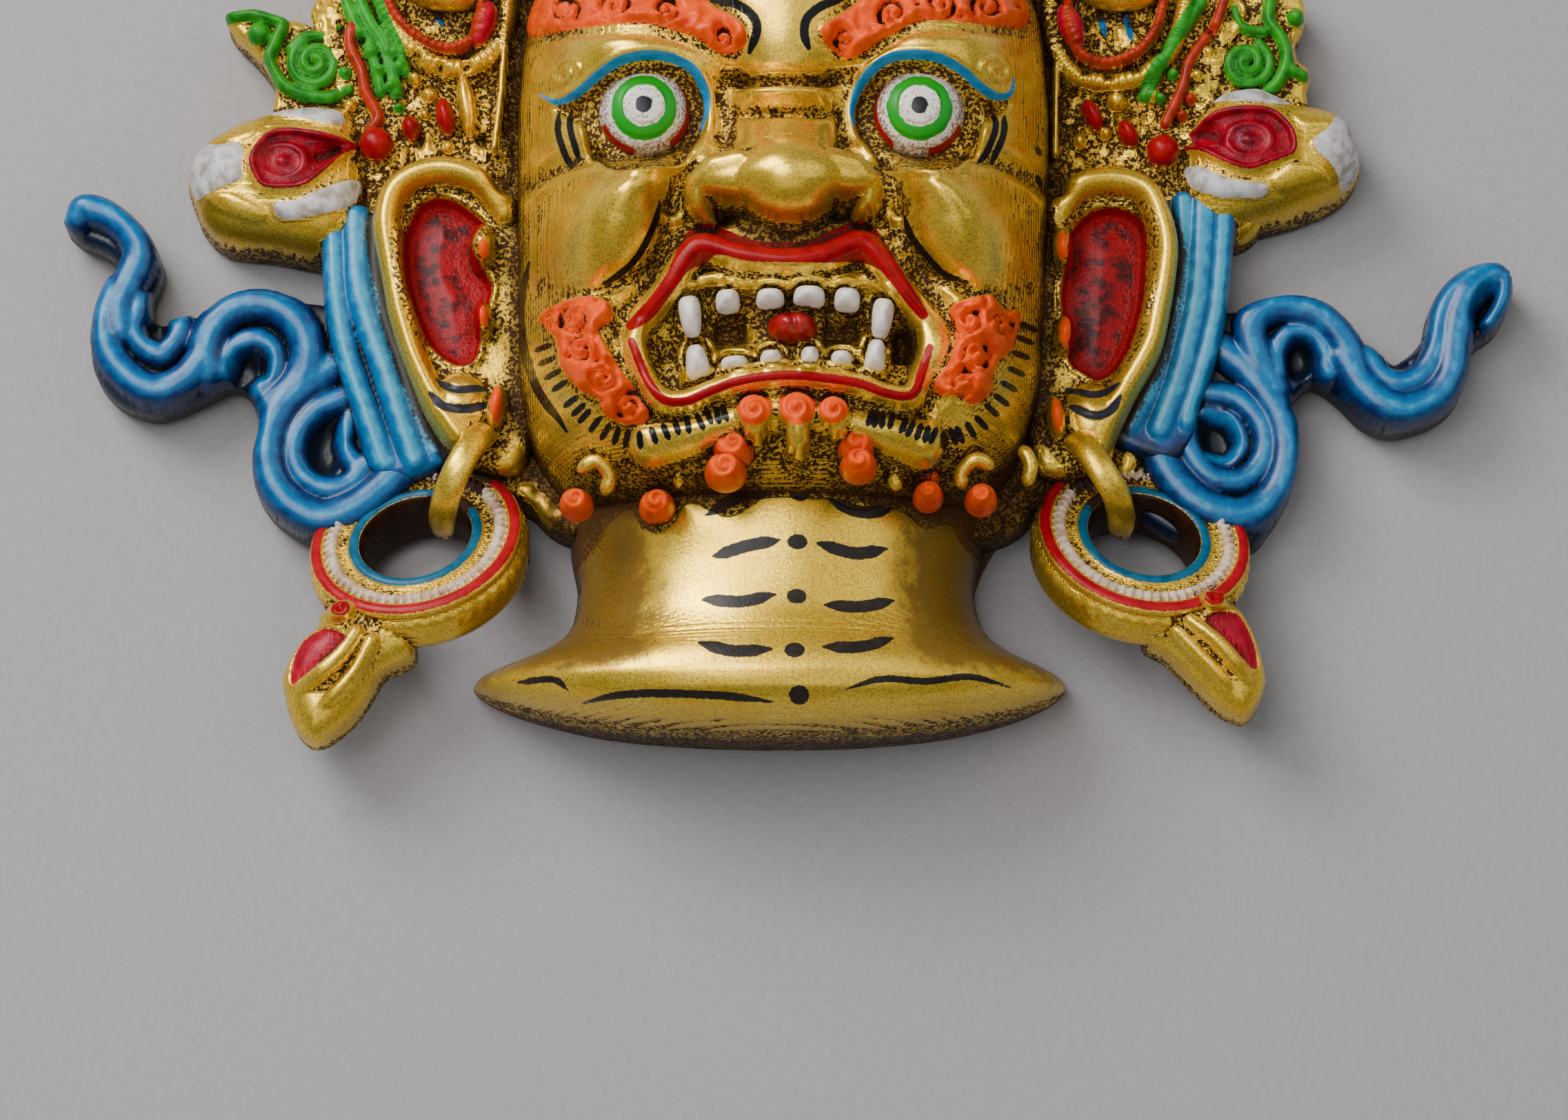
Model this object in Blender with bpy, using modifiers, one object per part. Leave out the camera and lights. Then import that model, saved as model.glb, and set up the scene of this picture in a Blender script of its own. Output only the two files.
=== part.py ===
"""Bhairab wall mask: one hollow-backed resin casting, lying face up.

The mask lies on its flat back rim: +Z out of the face, +Y to the crown, +X to the right.
Sizes are millimetres until build() scales the finished mesh to metres.
"""
from math import cos, pi, radians, sin

import bmesh
import bpy
import numpy as np
from mathutils import Matrix, Vector

# Overall sizes in millimetres
MM = 0.001
VOXEL = 0.87
TRIANGLES = 9400
BACK_DEPTH = 12.0
BACK_FLAT = 0.3
BACK_CUT = (260.0, 240.0, 40.0)
BACKING_TOP = 9.3
LEAF_LOW = 1.0
LEAF_HIGH = 8.0

# Head and neck
HEAD_SQUARE = 2.6
NECK_SQUARE = 2.2
HEAD_SIDES = 72
HOLLOW_SIDES = 40
HOLLOW_STEPS = 16
HOLLOW_CENTRE = (0.0, 32.0, 0.0)
HOLLOW_HALF = (29.0, 42.0, 31.0)
MOUTH_CENTRE = (0.0, 22.0, 49.0)
MOUTH_HALF = (16.5, 8.6, 12.0)
EYE_RADIUS = 6.0

# Ear rings
RING_RADIUS = 11.0
RING_WALL = 3.6
RING_LENGTH = 8.5
RING_LEAN = radians(30.0)
RING_TURN = radians(17.0)
RING_SQUASH = 0.94
RING_SQUARE = 3.0
RING_TURNS = 64
RING_SIDES = 16

# Ropes and balls
ROPE_SIDES = 16
ROPE_END = 0.55
BALL_TURNS = 24
BALL_RINGS = 14

# Crown skulls
SKULL_RADIUS = 7.6
SOCKET_RADIUS = 2.2
SOCKET_SIDE = 2.9
SOCKET_DROP = 1.0
SOCKET_FRONT = 0.85
FRAME_CLEARANCE = 1.6
FRAME_DROP = 4.5
FRAME_WIDTH = 1.9
FRAME_HEIGHT = 3.2

# Head sections: height on the face, left edge, right edge, front
HEAD_SECTIONS = [
    (82.0, -31.0, 31.0, 38.0),
    (74.0, -36.0, 35.5, 43.0),
    (62.0, -37.3, 36.4, 44.5),
    (52.0, -37.3, 36.6, 42.5),
    (40.0, -36.8, 36.4, 43.0),
    (28.0, -35.6, 35.6, 43.0),
    (20.0, -34.8, 34.6, 42.5),
    (13.0, -32.6, 32.0, 41.5),
    (8.0, -29.2, 28.0, 38.0),
    (4.5, -24.0, 22.0, 33.0),
]
NECK_SECTIONS = [
    (12.0, -29.0, 27.0, 26.0),
    (0.0, -29.5, 27.0, 28.5),
    (-6.0, -28.4, 25.8, 28.5),
    (-12.0, -30.0, 27.6, 29.0),
    (-16.0, -34.5, 31.6, 30.0),
    (-19.0, -41.5, 37.2, 30.5),
    (-22.0, -41.0, 36.6, 31.0),
    (-25.0, -36.0, 32.6, 30.0),
    (-27.5, -28.0, 25.0, 25.0),
    (-29.5, -15.0, 13.0, 15.0),
]

# Granular backing plate, left half outline from the neck to the crown
BACKING_HALF = [
    (0.0, -4.0), (-28.0, 1.0), (-36.0, 6.0), (-46.0, 8.0), (-52.0, 20.0), (-58.0, 40.0),
    (-66.0, 46.0), (-69.5, 61.0), (-62.0, 66.0), (-60.0, 80.0), (-56.0, 90.0), (-46.0, 98.0),
    (-34.0, 106.0), (-18.0, 113.0), (0.0, 118.0),
]
LEAF_LEFT = [
    (-77.6, 75.5), (-74.2, 76.0), (-67.4, 74.3), (-62.8, 73.2), (-58.0, 80.0), (-57.0, 62.0),
    (-70.3, 61.8), (-71.2, 66.0), (-73.8, 70.6), (-76.6, 73.4),
]
LEAF_RIGHT = [
    (72.6, 76.0), (71.8, 73.5), (70.0, 71.0), (70.6, 68.2), (72.4, 68.0), (72.2, 65.4),
    (71.6, 61.8), (57.0, 62.0), (60.0, 82.0), (69.0, 80.0),
]

# Ropes: points of the path, half width, half height
ROPES = {
    "left_drape": ([(-60.2, 46, 6), (-59.8, 38, 6.5), (-58.6, 30, 7), (-56.4, 22, 7),
                    (-53.5, 14, 6.5), (-50.5, 8, 5)], 4.0, 5.4),
    "left_loop": ([(-61.5, 24.5, 6.5), (-67.5, 20.5, 7), (-70.4, 14, 7), (-69.8, 8.3, 6.6),
                   (-65.4, 4.2, 6.4), (-60, 4.8, 6.2), (-55, 9, 6)], 3.1, 4.2),
    "left_hump": ([(-79.6, 25.6, 7), (-77.9, 30.4, 7.6), (-73.2, 32.9, 8), (-68, 31.8, 8),
                   (-65.6, 27, 7.6), (-69.4, 21.6, 7)], 3.2, 4.2),
    "left_bend": ([(-89.6, 36.4, 8), (-92.6, 32.4, 8), (-92.8, 27.2, 7.6), (-90, 22.9, 7.6),
                   (-85.6, 21.6, 7.6), (-81.2, 23.2, 7.6), (-78.4, 27.4, 7)], 2.9, 4.0),
    "left_tip": ([(-99, 46.8, 10), (-95, 47.4, 10.4), (-90.8, 44.6, 10), (-88.8, 40.6, 9.6),
                  (-90, 36.6, 9), (-92.6, 33, 8)], 2.3, 3.0),
    "right_drape": ([(57.2, 46, 6), (57.2, 38, 6.5), (56, 30, 7), (53.6, 22, 7),
                     (50.4, 15, 6.5), (47.4, 9, 5)], 3.5, 5.4),
    "right_loop": ([(51.6, 14.4, 6), (53.6, 8.4, 6.4), (58.4, 4.6, 6.4), (63.6, 4.2, 6.4),
                    (67.2, 9, 7), (67.4, 15.4, 7), (65, 20.8, 7), (60.8, 26, 6.6)], 3.0, 4.2),
    "right_hump": ([(66.2, 22.4, 7), (63.8, 28, 7.6), (65.2, 31.4, 8), (70, 32.6, 8),
                    (74.8, 31, 8), (77.4, 27, 7.6), (79.6, 22, 7.4)], 2.8, 4.2),
    "right_bend": ([(79.4, 22, 7.6), (83, 19.2, 7.6), (87.4, 19.6, 7.6), (90.8, 23.6, 8),
                    (91, 29.6, 8.6), (93, 34.6, 9.6), (96.6, 37.4, 10.4), (99.8, 36.6, 10.4)],
                   2.7, 3.6),
    "left_ear_rim": ([(-41, 46, 15.4), (-43.4, 50.2, 15.4), (-48.2, 51.2, 15), (-53, 48.4, 14.6),
                      (-54.9, 42, 14.4), (-53.8, 34, 14.4), (-51.4, 26, 14.4),
                      (-48.4, 20.4, 14.6), (-44, 18, 15)], 1.9, 4.4),
    "right_ear_rim": ([(38.6, 44.6, 15.4), (40.6, 48.6, 15.4), (45, 49.8, 15), (49.8, 48, 14.6),
                       (52.2, 42.6, 14.4), (52.2, 35, 14.4), (50.4, 27, 14.4),
                       (46.6, 20.8, 14.6), (42.4, 17.4, 15)], 1.8, 4.4),
    "left_hook": ([(-39, 14, 15), (-43, 10.6, 17.6), (-45.6, 6.6, 16), (-46.8, 3.2, 11.6),
                   (-46.4, 1.6, 6)], 1.9, 1.5),
    "right_hook": ([(37, 14, 15), (40.4, 10.2, 17.6), (43.2, 6.4, 16), (44.8, 3.2, 11.6),
                    (44.6, 1.8, 6)], 1.9, 1.5),
    "left_brow": ([(-33, 66.4, 36), (-27, 67, 40), (-20, 67.2, 43), (-12.6, 65.2, 45),
                   (-6.4, 61.6, 46)], 3.2, 3.6),
    "right_brow": ([(31, 66.6, 36), (26, 67.2, 40), (19, 67.4, 43), (12.2, 65, 45),
                    (6.2, 61.6, 46)], 3.2, 3.6),
    "left_lid": ([(-31, 54.6, 35), (-26.4, 57.6, 38.6), (-19.4, 60, 40.4), (-12.6, 58.2, 41.6),
                  (-9.6, 53, 41)], 2.2, 3.6),
    "right_lid": ([(29.4, 55, 35), (25, 57.8, 38.6), (18, 60, 40.4), (11.6, 58, 41.6),
                   (8.6, 53, 41)], 2.2, 3.6),
    "upper_lip": ([(-20.6, 21, 39), (-17.2, 26, 42.6), (-13, 31.4, 44.8), (-9.6, 33.6, 45.6),
                   (0, 31.8, 46.4), (9.4, 33.8, 45.6), (12.8, 31.6, 44.8), (17, 26, 42.6),
                   (19.6, 21.6, 39)], 1.9, 3.2),
    "lower_lip": ([(-20, 20, 39), (-18, 14.2, 41.4), (-13.6, 11.2, 43), (0, 14.4, 45),
                   (12.8, 11.8, 43), (17.2, 13.8, 41.4), (19.2, 20, 39)], 1.8, 3.2),
    "upper_teeth": ([(-10.6, 26.4, 40.5), (0, 27, 42.4), (10.6, 26.4, 40.5)], 1.5, 3.0),
    "lower_teeth": ([(-10.6, 16.8, 39.6), (0, 17.8, 41.4), (10.6, 16.8, 39.6)], 1.4, 3.0),
    "crown_band": ([(-43, 62, 14), (-40, 72, 18), (-27, 83, 24), (0, 88, 30), (27, 83, 24),
                    (40, 72, 18), (42, 62, 14)], 4.2, 8.0),
}

# Balls: centre, three half sizes, turn in degrees about +Z
BALLS = {
    "left_loop_floor": ((-63, 13.6, 5.6), (7, 7.5, 3.2), 0),
    "left_hump_floor": ((-72.8, 26.4, 6), (5.6, 5.4, 3.2), 0),
    "left_bend_floor": ((-86.4, 28.2, 6.4), (6.4, 5.4, 3), 0),
    "right_loop_floor": ((60, 14, 5.6), (8, 9.5, 3.2), 0),
    "right_hump_floor": ((70.6, 26.6, 6), (5.8, 5.6, 3.2), 0),
    "right_bend_floor": ((85, 24.4, 6.4), (6.2, 5.6, 3), 0),
    "right_tip_floor": ((95.8, 34.2, 8.6), (3.4, 4.2, 2), 35),
    "left_rosette_heart": ((-67.6, 52.6, 11.4), (7.4, 5.2, 6.4), 8),
    "left_rosette_body": ((-70.2, 52.4, 6.6), (12, 9.2, 7.6), 5),
    "left_rosette_tip": ((-77.4, 52.2, 7.2), (5, 6.2, 6.6), 0),
    "left_rosette_petal": ((-66.2, 59.4, 11), (5.8, 2.2, 4.2), 0),
    "left_rosette_leaf": ((-64.4, 47, 10.6), (6, 2, 3.6), 18),
    "right_rosette_heart": ((63.6, 56, 11.4), (7.2, 4.8, 6.4), -4),
    "right_rosette_body": ((67.4, 54.8, 6.6), (11.8, 9.2, 7.6), -5),
    "right_rosette_tip": ((74.6, 55.6, 7.2), (4.8, 5.8, 6.6), 0),
    "right_rosette_petal": ((64.4, 62.4, 11), (5.8, 1.9, 4.2), 0),
    "right_rosette_leaf": ((60.8, 49.6, 10.6), (6, 2, 3.6), -18),
    "left_bead": ((-56.4, 55.6, 12.5), (2.7, 2.7, 4), 0),
    "right_bead": ((52, 54.6, 12.5), (2.7, 2.7, 4), 0),
    "left_leaf_curl": ((-65.1, 68, 9), (3.8, 3.8, 3), 0),
    "right_leaf_curl": ((63.9, 67.9, 9), (3.8, 3.8, 3), 0),
    "left_ear": ((-47.4, 35.6, 5), (8.8, 15.6, 10), 8),
    "right_ear": ((45, 34.4, 5), (8.8, 15.6, 10), -6),
    "left_lobe": ((-44.6, 17, 9), (4.6, 4.8, 8), 0),
    "right_lobe": ((42, 15.6, 9), (4.6, 5.4, 8), 0),
    "left_tragus": ((-40.8, 40, 16), (1.8, 2.8, 4), 0),
    "right_tragus": ((37.6, 39.8, 16), (1.8, 2.8, 4), 0),
    "left_lower_tragus": ((-41, 30, 16), (1.5, 2.5, 4), 0),
    "right_lower_tragus": ((37.8, 27.8, 16), (1.5, 2.7, 4), 0),
    "forehead": ((0, 64, 40), (8.5, 8, 9), 0),
    "third_eye": ((0, 75, 42), (3.6, 5, 4), 0),
    "left_eye": ((-19.1, 51.9, 36.4), (EYE_RADIUS, EYE_RADIUS, EYE_RADIUS), 0),
    "right_eye": ((18.0, 51.7, 36.4), (EYE_RADIUS, EYE_RADIUS, EYE_RADIUS), 0),
    "nose_bridge": ((0, 50, 41), (5.6, 6, 6), 0),
    "nose_tip": ((-0.2, 42.2, 47.6), (7.6, 6.2, 9.6), 0),
    "left_wing": ((-9.6, 40, 43), (4, 4.6, 7), 0),
    "right_wing": ((9.4, 40.6, 43), (4, 4.4, 7), 0),
    "left_cheek": ((-24.2, 37, 36), (10.4, 7.6, 11), 12),
    "right_cheek": ((23.4, 37, 36), (10.4, 7.6, 11), -12),
    "left_jowl": ((-20, 31, 37), (7, 5, 7), 40),
    "right_jowl": ((19.4, 31, 37), (7, 5, 7), -40),
    "left_moustache": ((-26.4, 18, 35), (5.2, 9, 7.4), 20),
    "right_moustache": ((25.6, 18.8, 35), (5.2, 8, 7.4), -20),
    "chin": ((0, 9.4, 36), (13, 6, 7.6), 0),
    "tongue": ((0.9, 22, 38), (3.6, 2.6, 4.2), 0),
    "left_upper_fang": ((-12.4, 24.4, 41), (1.3, 3.2, 3), 0),
    "right_upper_fang": ((12.6, 24, 41), (1.3, 3.2, 3), 0),
    "left_lower_fang": ((-11.7, 18, 40.4), (1.5, 2.6, 3), 0),
    "right_lower_fang": ((11.8, 18.3, 40.4), (1.2, 2.6, 3), 0),
    "left_pendant": ((-61.6, -19.4, 15.6), (4.6, 9.2, 6.2), -22),
    "right_pendant": ((59.6, -16.8, 15.6), (4.6, 9.4, 6.2), 28),
    "left_pendant_neck": ((-56, -14.6, 14.6), (4.6, 4.6, 5), 0),
    "right_pendant_neck": ((55, -13, 14.6), (4.6, 4.6, 5), 0),
    "left_ring_bead": ((-59.7, -11.4, 20.4), (2.3, 1.8, 1.8), 0),
    "right_ring_bead": ((57.6, -10, 20.4), (2.3, 1.8, 1.8), 0),
    "finial_bowl": ((0, 117, 12), (8, 6.5, 9), 0),
    "finial_jewel": ((0, 122, 12), (5.4, 6.5, 7), 0),
    "finial_flame": ((0, 129, 9), (2.6, 6.4, 4.4), 0),
    "left_beard_curl": ((-10, 5.2, 33), (3.4, 2.6, 4.4), 0),
    "right_beard_curl": ((10, 5.6, 33), (3.4, 2.6, 4.4), 0),
    "left_jaw_curl": ((-26.4, 4, 26), (3.6, 2.8, 5), 0),
    "right_jaw_curl": ((26.4, 4.6, 26), (3.6, 2.8, 5), 0),
}
EAR_BOWLS = [((-46.8, 36.2, 19.5), (6.6, 12.4, 9), 8), ((44.2, 34.4, 19.5), (6.6, 12.4, 9), -6)]
RINGS = {"left_ring": ((-50.2, 0.0, 14.4), 1.0), "right_ring": ((48.7, 0.4, 14.4), -1.0)}
SKULLS = [(-48.0, 80.5, 15.0), (-27.0, 95.0, 19.0), (0.0, 101.0, 22.0), (27.0, 95.0, 19.0),
          (48.0, 80.5, 15.0)]


def clear_scene():
    """Remove whatever the file starts with."""
    for thing in list(bpy.data.objects):
        bpy.data.objects.remove(thing)


def smooth_path(points, steps=8):
    """Catmull-Rom path through the points."""
    p = [np.array(q, float) for q in points]
    p = [2 * p[0] - p[1]] + p + [2 * p[-1] - p[-2]]
    path = []
    for a, b, c, d in zip(p, p[1:], p[2:], p[3:]):
        for i in range(steps):
            t = i / steps
            path.append(0.5 * (2 * b + (c - a) * t + (2 * a - 5 * b + 4 * c - d) * t * t
                               + (3 * b - a - 3 * c + d) * t ** 3))
    return path + [p[-2]]


def skin(forms, rings):
    """Close a run of equal rings of points into one solid and add it to the forms."""
    verts = [bm_vert for ring in rings for bm_vert in ring]
    count = len(rings[0])
    made = [forms.verts.new(v) for v in verts]
    faces = []
    for i in range(len(rings) - 1):
        for j in range(count):
            k = (j + 1) % count
            a, b = i * count, (i + 1) * count
            faces.append(forms.faces.new((made[a + j], made[a + k], made[b + k], made[b + j])))
    faces.append(forms.faces.new(made[:count][::-1]))
    faces.append(forms.faces.new(made[-count:]))
    bmesh.ops.recalc_face_normals(forms, faces=faces)


def add_rope(forms, points, half_width, half_height):
    """Oval rope along a smooth path, rounded off at both ends."""
    path = smooth_path(points)
    last = len(path) - 1
    rings = []
    for i, here in enumerate(path):
        along = Vector(path[min(i + 1, last)] - path[max(i - 1, 0)]).normalized()
        side = along.cross(Vector((0, 0, 1))).normalized()
        up = side.cross(along)
        taper = min(1.0, ROPE_END + 0.15 * min(i, last - i))
        turns = [2 * pi * j / ROPE_SIDES for j in range(ROPE_SIDES)]
        rings.append([Vector(here) + side * half_width * taper * cos(a)
                      + up * half_height * taper * sin(a) for a in turns])
    skin(forms, rings)


def add_ball(forms, centre, half, turn):
    """Oval ball, turned about +Z."""
    place = Matrix.Translation(centre) @ Matrix.Rotation(radians(turn), 4, "Z")
    place = place @ Matrix.Diagonal((*half, 1.0))
    bmesh.ops.create_uvsphere(forms, u_segments=BALL_TURNS, v_segments=BALL_RINGS, radius=1.0,
                              matrix=place)


def add_plate(forms, outline, low, high):
    """Flat plate between two heights."""
    skin(forms, [[Vector((x, y, z)) for x, y in outline] for z in (low, high)])


def add_loft(forms, sections, square, floor, sides):
    """Body through rounded-square sections across the height of the face."""
    rings = []
    for y, left, right, front in sections:
        ring = []
        for j in range(sides):
            a = 2 * pi * j / sides
            c, s = cos(a), sin(a)
            reach = (abs(c) ** square + abs(s) ** square) ** (-1 / square)
            x = (left + right) / 2 + (right - left) / 2 * reach * c
            z = front * reach * s if s > 0 else floor * reach * s
            ring.append(Vector((x, y, z)))
        rings.append(ring)
    skin(forms, rings)


def add_ring(forms, centre, hand):
    """Thick ear ring: a rounded collar leaning so its lower edge comes forward."""
    lean = Matrix.Rotation(RING_TURN * hand, 4, "Z") @ Matrix.Rotation(-RING_LEAN, 4, "X")
    profile = []
    for j in range(RING_SIDES):
        a = 2 * pi * j / RING_SIDES
        reach = (abs(cos(a)) ** RING_SQUARE + abs(sin(a)) ** RING_SQUARE) ** (-1 / RING_SQUARE)
        profile.append((RING_RADIUS + RING_WALL * reach * cos(a),
                        RING_LENGTH / 2 * (reach * sin(a) - 1)))
    made = []
    for i in range(RING_TURNS):
        turn = 2 * pi * i / RING_TURNS
        made.append([forms.verts.new(Vector(centre) + lean @ Vector(
            (r * cos(turn), r * sin(turn) * RING_SQUASH, z))) for r, z in profile])
    faces = []
    for i in range(RING_TURNS):
        for j in range(RING_SIDES):
            k, n = (j + 1) % RING_SIDES, (i + 1) % RING_TURNS
            faces.append(forms.faces.new((made[i][j], made[i][k], made[n][k], made[n][j])))
    bmesh.ops.recalc_face_normals(forms, faces=faces)


def add_skull(forms, centre):
    """Crown skull in its bead frame."""
    x, y, z = centre
    r = SKULL_RADIUS
    add_ball(forms, (x, y, z), (r, r * 1.05, r), 0)
    add_ball(forms, (x, y - r * 0.8, z + 1.0), (r * 0.66, r * 0.55, r * 0.72), 0)
    out, low = r + FRAME_CLEARANCE, y - r - FRAME_DROP
    frame = [(x - out, y + 3, z - 4), (x - r, y - 6, z - 3), (x, low, z - 1),
             (x + r, y - 6, z - 3), (x + out, y + 3, z - 4)]
    add_rope(forms, frame, FRAME_WIDTH, FRAME_HEIGHT)
    add_ball(forms, (x, y + r + 2, z - 3), (3.2, 5, 5), 0)


def new_object(name, mesh, place):
    """Object holding a mesh, linked into a collection."""
    thing = bpy.data.objects.new(name, mesh)
    place.objects.link(thing)
    return thing


def as_mesh(name, forms):
    """Mesh holding the forms gathered so far."""
    mesh = bpy.data.meshes.new(name)
    forms.to_mesh(mesh)
    forms.free()
    return mesh


def apply_modifiers(thing):
    """Replace an object's mesh by its modified mesh."""
    graph = bpy.context.evaluated_depsgraph_get()
    graph.update()
    mesh = bpy.data.meshes.new_from_object(thing.evaluated_get(graph))
    thing.modifiers.clear()
    thing.data = mesh


def keep_largest(mesh):
    """Drop closed pockets left inside the joined forms."""
    work = bmesh.new()
    work.from_mesh(mesh)
    work.verts.ensure_lookup_table()
    seen = set()
    groups = []
    for start in work.verts:
        if start.index in seen:
            continue
        seen.add(start.index)
        group, todo = [start], [start]
        while todo:
            for edge in todo.pop().link_edges:
                for vert in edge.verts:
                    if vert.index not in seen:
                        seen.add(vert.index)
                        group.append(vert)
                        todo.append(vert)
        groups.append(group)
    groups.sort(key=len)
    bmesh.ops.delete(work, geom=[v for group in groups[:-1] for v in group], context="VERTS")
    work.to_mesh(mesh)
    work.free()


def resin_paint():
    """Antique gold paint over resin."""
    material = bpy.data.materials.new("antique_gold_paint")
    material.use_nodes = True
    shader = material.node_tree.nodes["Principled BSDF"]
    shader.inputs["Base Color"].default_value = (0.45, 0.27, 0.07, 1.0)
    shader.inputs["Metallic"].default_value = 0.85
    shader.inputs["Roughness"].default_value = 0.38
    return material


def gather_forms():
    """Every raised form of the casting as overlapping closed bodies."""
    forms = bmesh.new()
    add_loft(forms, HEAD_SECTIONS, HEAD_SQUARE, BACK_DEPTH, HEAD_SIDES)
    add_loft(forms, NECK_SECTIONS, NECK_SQUARE, BACK_DEPTH, HEAD_SIDES)
    backing = BACKING_HALF + [(-x, y) for x, y in BACKING_HALF[-2:0:-1]]
    add_plate(forms, backing, -BACK_DEPTH, BACKING_TOP)
    add_plate(forms, LEAF_LEFT, LEAF_LOW, LEAF_HIGH)
    add_plate(forms, LEAF_RIGHT, LEAF_LOW, LEAF_HIGH)
    for points, half_width, half_height in ROPES.values():
        add_rope(forms, points, half_width, half_height)
    for centre, half, turn in BALLS.values():
        add_ball(forms, centre, half, turn)
    for centre, hand in RINGS.values():
        add_ring(forms, centre, hand)
    for centre in SKULLS:
        add_skull(forms, centre)
    return forms


def cut(body, name, cutter_forms, cutters):
    """Take the cutter's volume out of the body."""
    cutter = new_object(name, as_mesh(name, cutter_forms), cutters)
    cutter.hide_render = True
    cutter.display_type = "WIRE"
    boolean = body.modifiers.new(name, "BOOLEAN")
    boolean.operation = "DIFFERENCE"
    boolean.solver = "EXACT"
    boolean.object = cutter


def build():
    """Join the forms, cut the back flat, hollow it and centre it on its base."""
    clear_scene()
    parts, cutters = (bpy.data.collections.new(name) for name in ("bhairab_mask", "cutters"))
    for place in (parts, cutters):
        bpy.context.scene.collection.children.link(place)
    body = new_object("mask", as_mesh("mask", gather_forms()), parts)

    remesh = body.modifiers.new("join", "REMESH")
    remesh.mode = "VOXEL"
    remesh.voxel_size = VOXEL
    apply_modifiers(body)
    keep_largest(body.data)

    openings = bmesh.new()
    add_ball(openings, MOUTH_CENTRE, MOUTH_HALF, 0)
    for centre, half, turn in EAR_BOWLS:
        add_ball(openings, centre, half, turn)
    for x, y, z in SKULLS:
        for side in (-1, 1):
            add_ball(openings, (x + side * SOCKET_SIDE, y - SOCKET_DROP,
                                z + SKULL_RADIUS * SOCKET_FRONT), (SOCKET_RADIUS,) * 3, 0)
    x, y, z = BACK_CUT
    bmesh.ops.create_cube(openings, size=1.0, matrix=Matrix.Translation((0, y / 4, -z / 2))
                          @ Matrix.Diagonal((x, y, z, 1)))
    cut(body, "openings", openings, cutters)
    hollow = bmesh.new()
    x, y, z = HOLLOW_HALF
    sections = []
    for i in range(1, HOLLOW_STEPS):
        t = -cos(pi * i / HOLLOW_STEPS)
        reach = (1 - abs(t) ** HEAD_SQUARE) ** (1 / HEAD_SQUARE)
        sections.append((HOLLOW_CENTRE[1] + y * t, -x * reach, x * reach, z * reach))
    add_loft(hollow, sections, HEAD_SQUARE, BACK_DEPTH, HOLLOW_SIDES)
    cut(body, "hollow", hollow, cutters)
    apply_modifiers(body)
    keep_largest(body.data)

    remesh = body.modifiers.new("seal", "REMESH")
    remesh.mode = "VOXEL"
    remesh.voxel_size = VOXEL
    apply_modifiers(body)
    keep_largest(body.data)
    thin = body.modifiers.new("thin", "DECIMATE")
    thin.ratio = TRIANGLES / sum(len(p.vertices) - 2 for p in body.data.polygons)
    apply_modifiers(body)
    for vert in body.data.vertices:
        if vert.co.z < BACK_FLAT:
            vert.co.z = 0.0

    body.data.transform(Matrix.Scale(MM, 4))
    corners = np.array([v.co for v in body.data.vertices])
    low, high = corners.min(0), corners.max(0)
    shift = Vector((-(low[0] + high[0]) / 2, -(low[1] + high[1]) / 2, -low[2]))
    body.data.transform(Matrix.Translation(shift))
    body.data.materials.clear()
    body.data.materials.append(resin_paint())
    print("mask box", low, high, "faces", len(body.data.polygons))


build()
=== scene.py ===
"""Looks of the bhairab wall mask: one painted resin casting lying face up.

Every surface is worked out in millimetres on the mask's own drawing: x to the viewer's right from the
middle of the face, y towards the crown, z out of the face from the flat back. One call then moves it
into the room.
"""

from math import cos, pi, radians, sin, tan

import bpy
import numpy as np
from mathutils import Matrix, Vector


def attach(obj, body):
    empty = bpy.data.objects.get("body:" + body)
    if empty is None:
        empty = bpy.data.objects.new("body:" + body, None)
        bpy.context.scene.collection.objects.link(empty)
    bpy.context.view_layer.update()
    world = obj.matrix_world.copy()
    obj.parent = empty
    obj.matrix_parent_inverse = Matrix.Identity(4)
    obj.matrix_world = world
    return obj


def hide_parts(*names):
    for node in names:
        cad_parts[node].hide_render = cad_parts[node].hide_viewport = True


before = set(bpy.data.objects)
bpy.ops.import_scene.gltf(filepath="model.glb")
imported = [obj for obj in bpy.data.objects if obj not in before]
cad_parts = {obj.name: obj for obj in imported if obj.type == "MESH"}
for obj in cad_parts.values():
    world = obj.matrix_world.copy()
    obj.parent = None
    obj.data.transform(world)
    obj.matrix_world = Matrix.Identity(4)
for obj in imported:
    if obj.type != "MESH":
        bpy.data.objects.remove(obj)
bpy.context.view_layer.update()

# Floor, light and camera
# A pale grey sheet under the mask, a large soft light high on the left, a weaker one on the right, and the
# camera 0.8 m above the face, 13 degrees towards the chin.
DRAWING_MIDDLE = (0.53, 52.80)
MM = 0.001
CAMERA_LEAN = radians(13.0)
CAMERA_FAR = 800.0
CAMERA_HEIGHT = 780.0
HALF_VIEW = 108.13
FLOOR_HALF = 1.6
LIGHT_AIM = (0.0, 30.0, 0.0)
LIGHTS = {
    "key_light": ((-420.0, 420.0, 560.0), (0.42, 0.42), 7.8),
    "fill_light": ((460.0, 120.0, 520.0), (0.7, 0.7), 1.4),
    "top_light": ((-190.0, 70.0, 800.0), (0.5, 0.4), 4.2),
    "front_light": ((0.0, -520.0, 640.0), (0.8, 0.5), 0.9),
}


def in_room(points):
    """Millimetres on the drawing to metres in the room."""
    points = np.asarray(points, float)
    return (points - np.array([DRAWING_MIDDLE[0], DRAWING_MIDDLE[1], 0.0])) * MM


def srgb(red, green, blue):
    """Linear colour of a screen colour given from 0 to 255."""
    screen = np.array([red, green, blue], float) / 255
    linear = np.where(screen <= 0.04045, screen / 12.92, ((screen + 0.055) / 1.055) ** 2.4)
    return (*linear.tolist(), 1.0)


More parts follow.
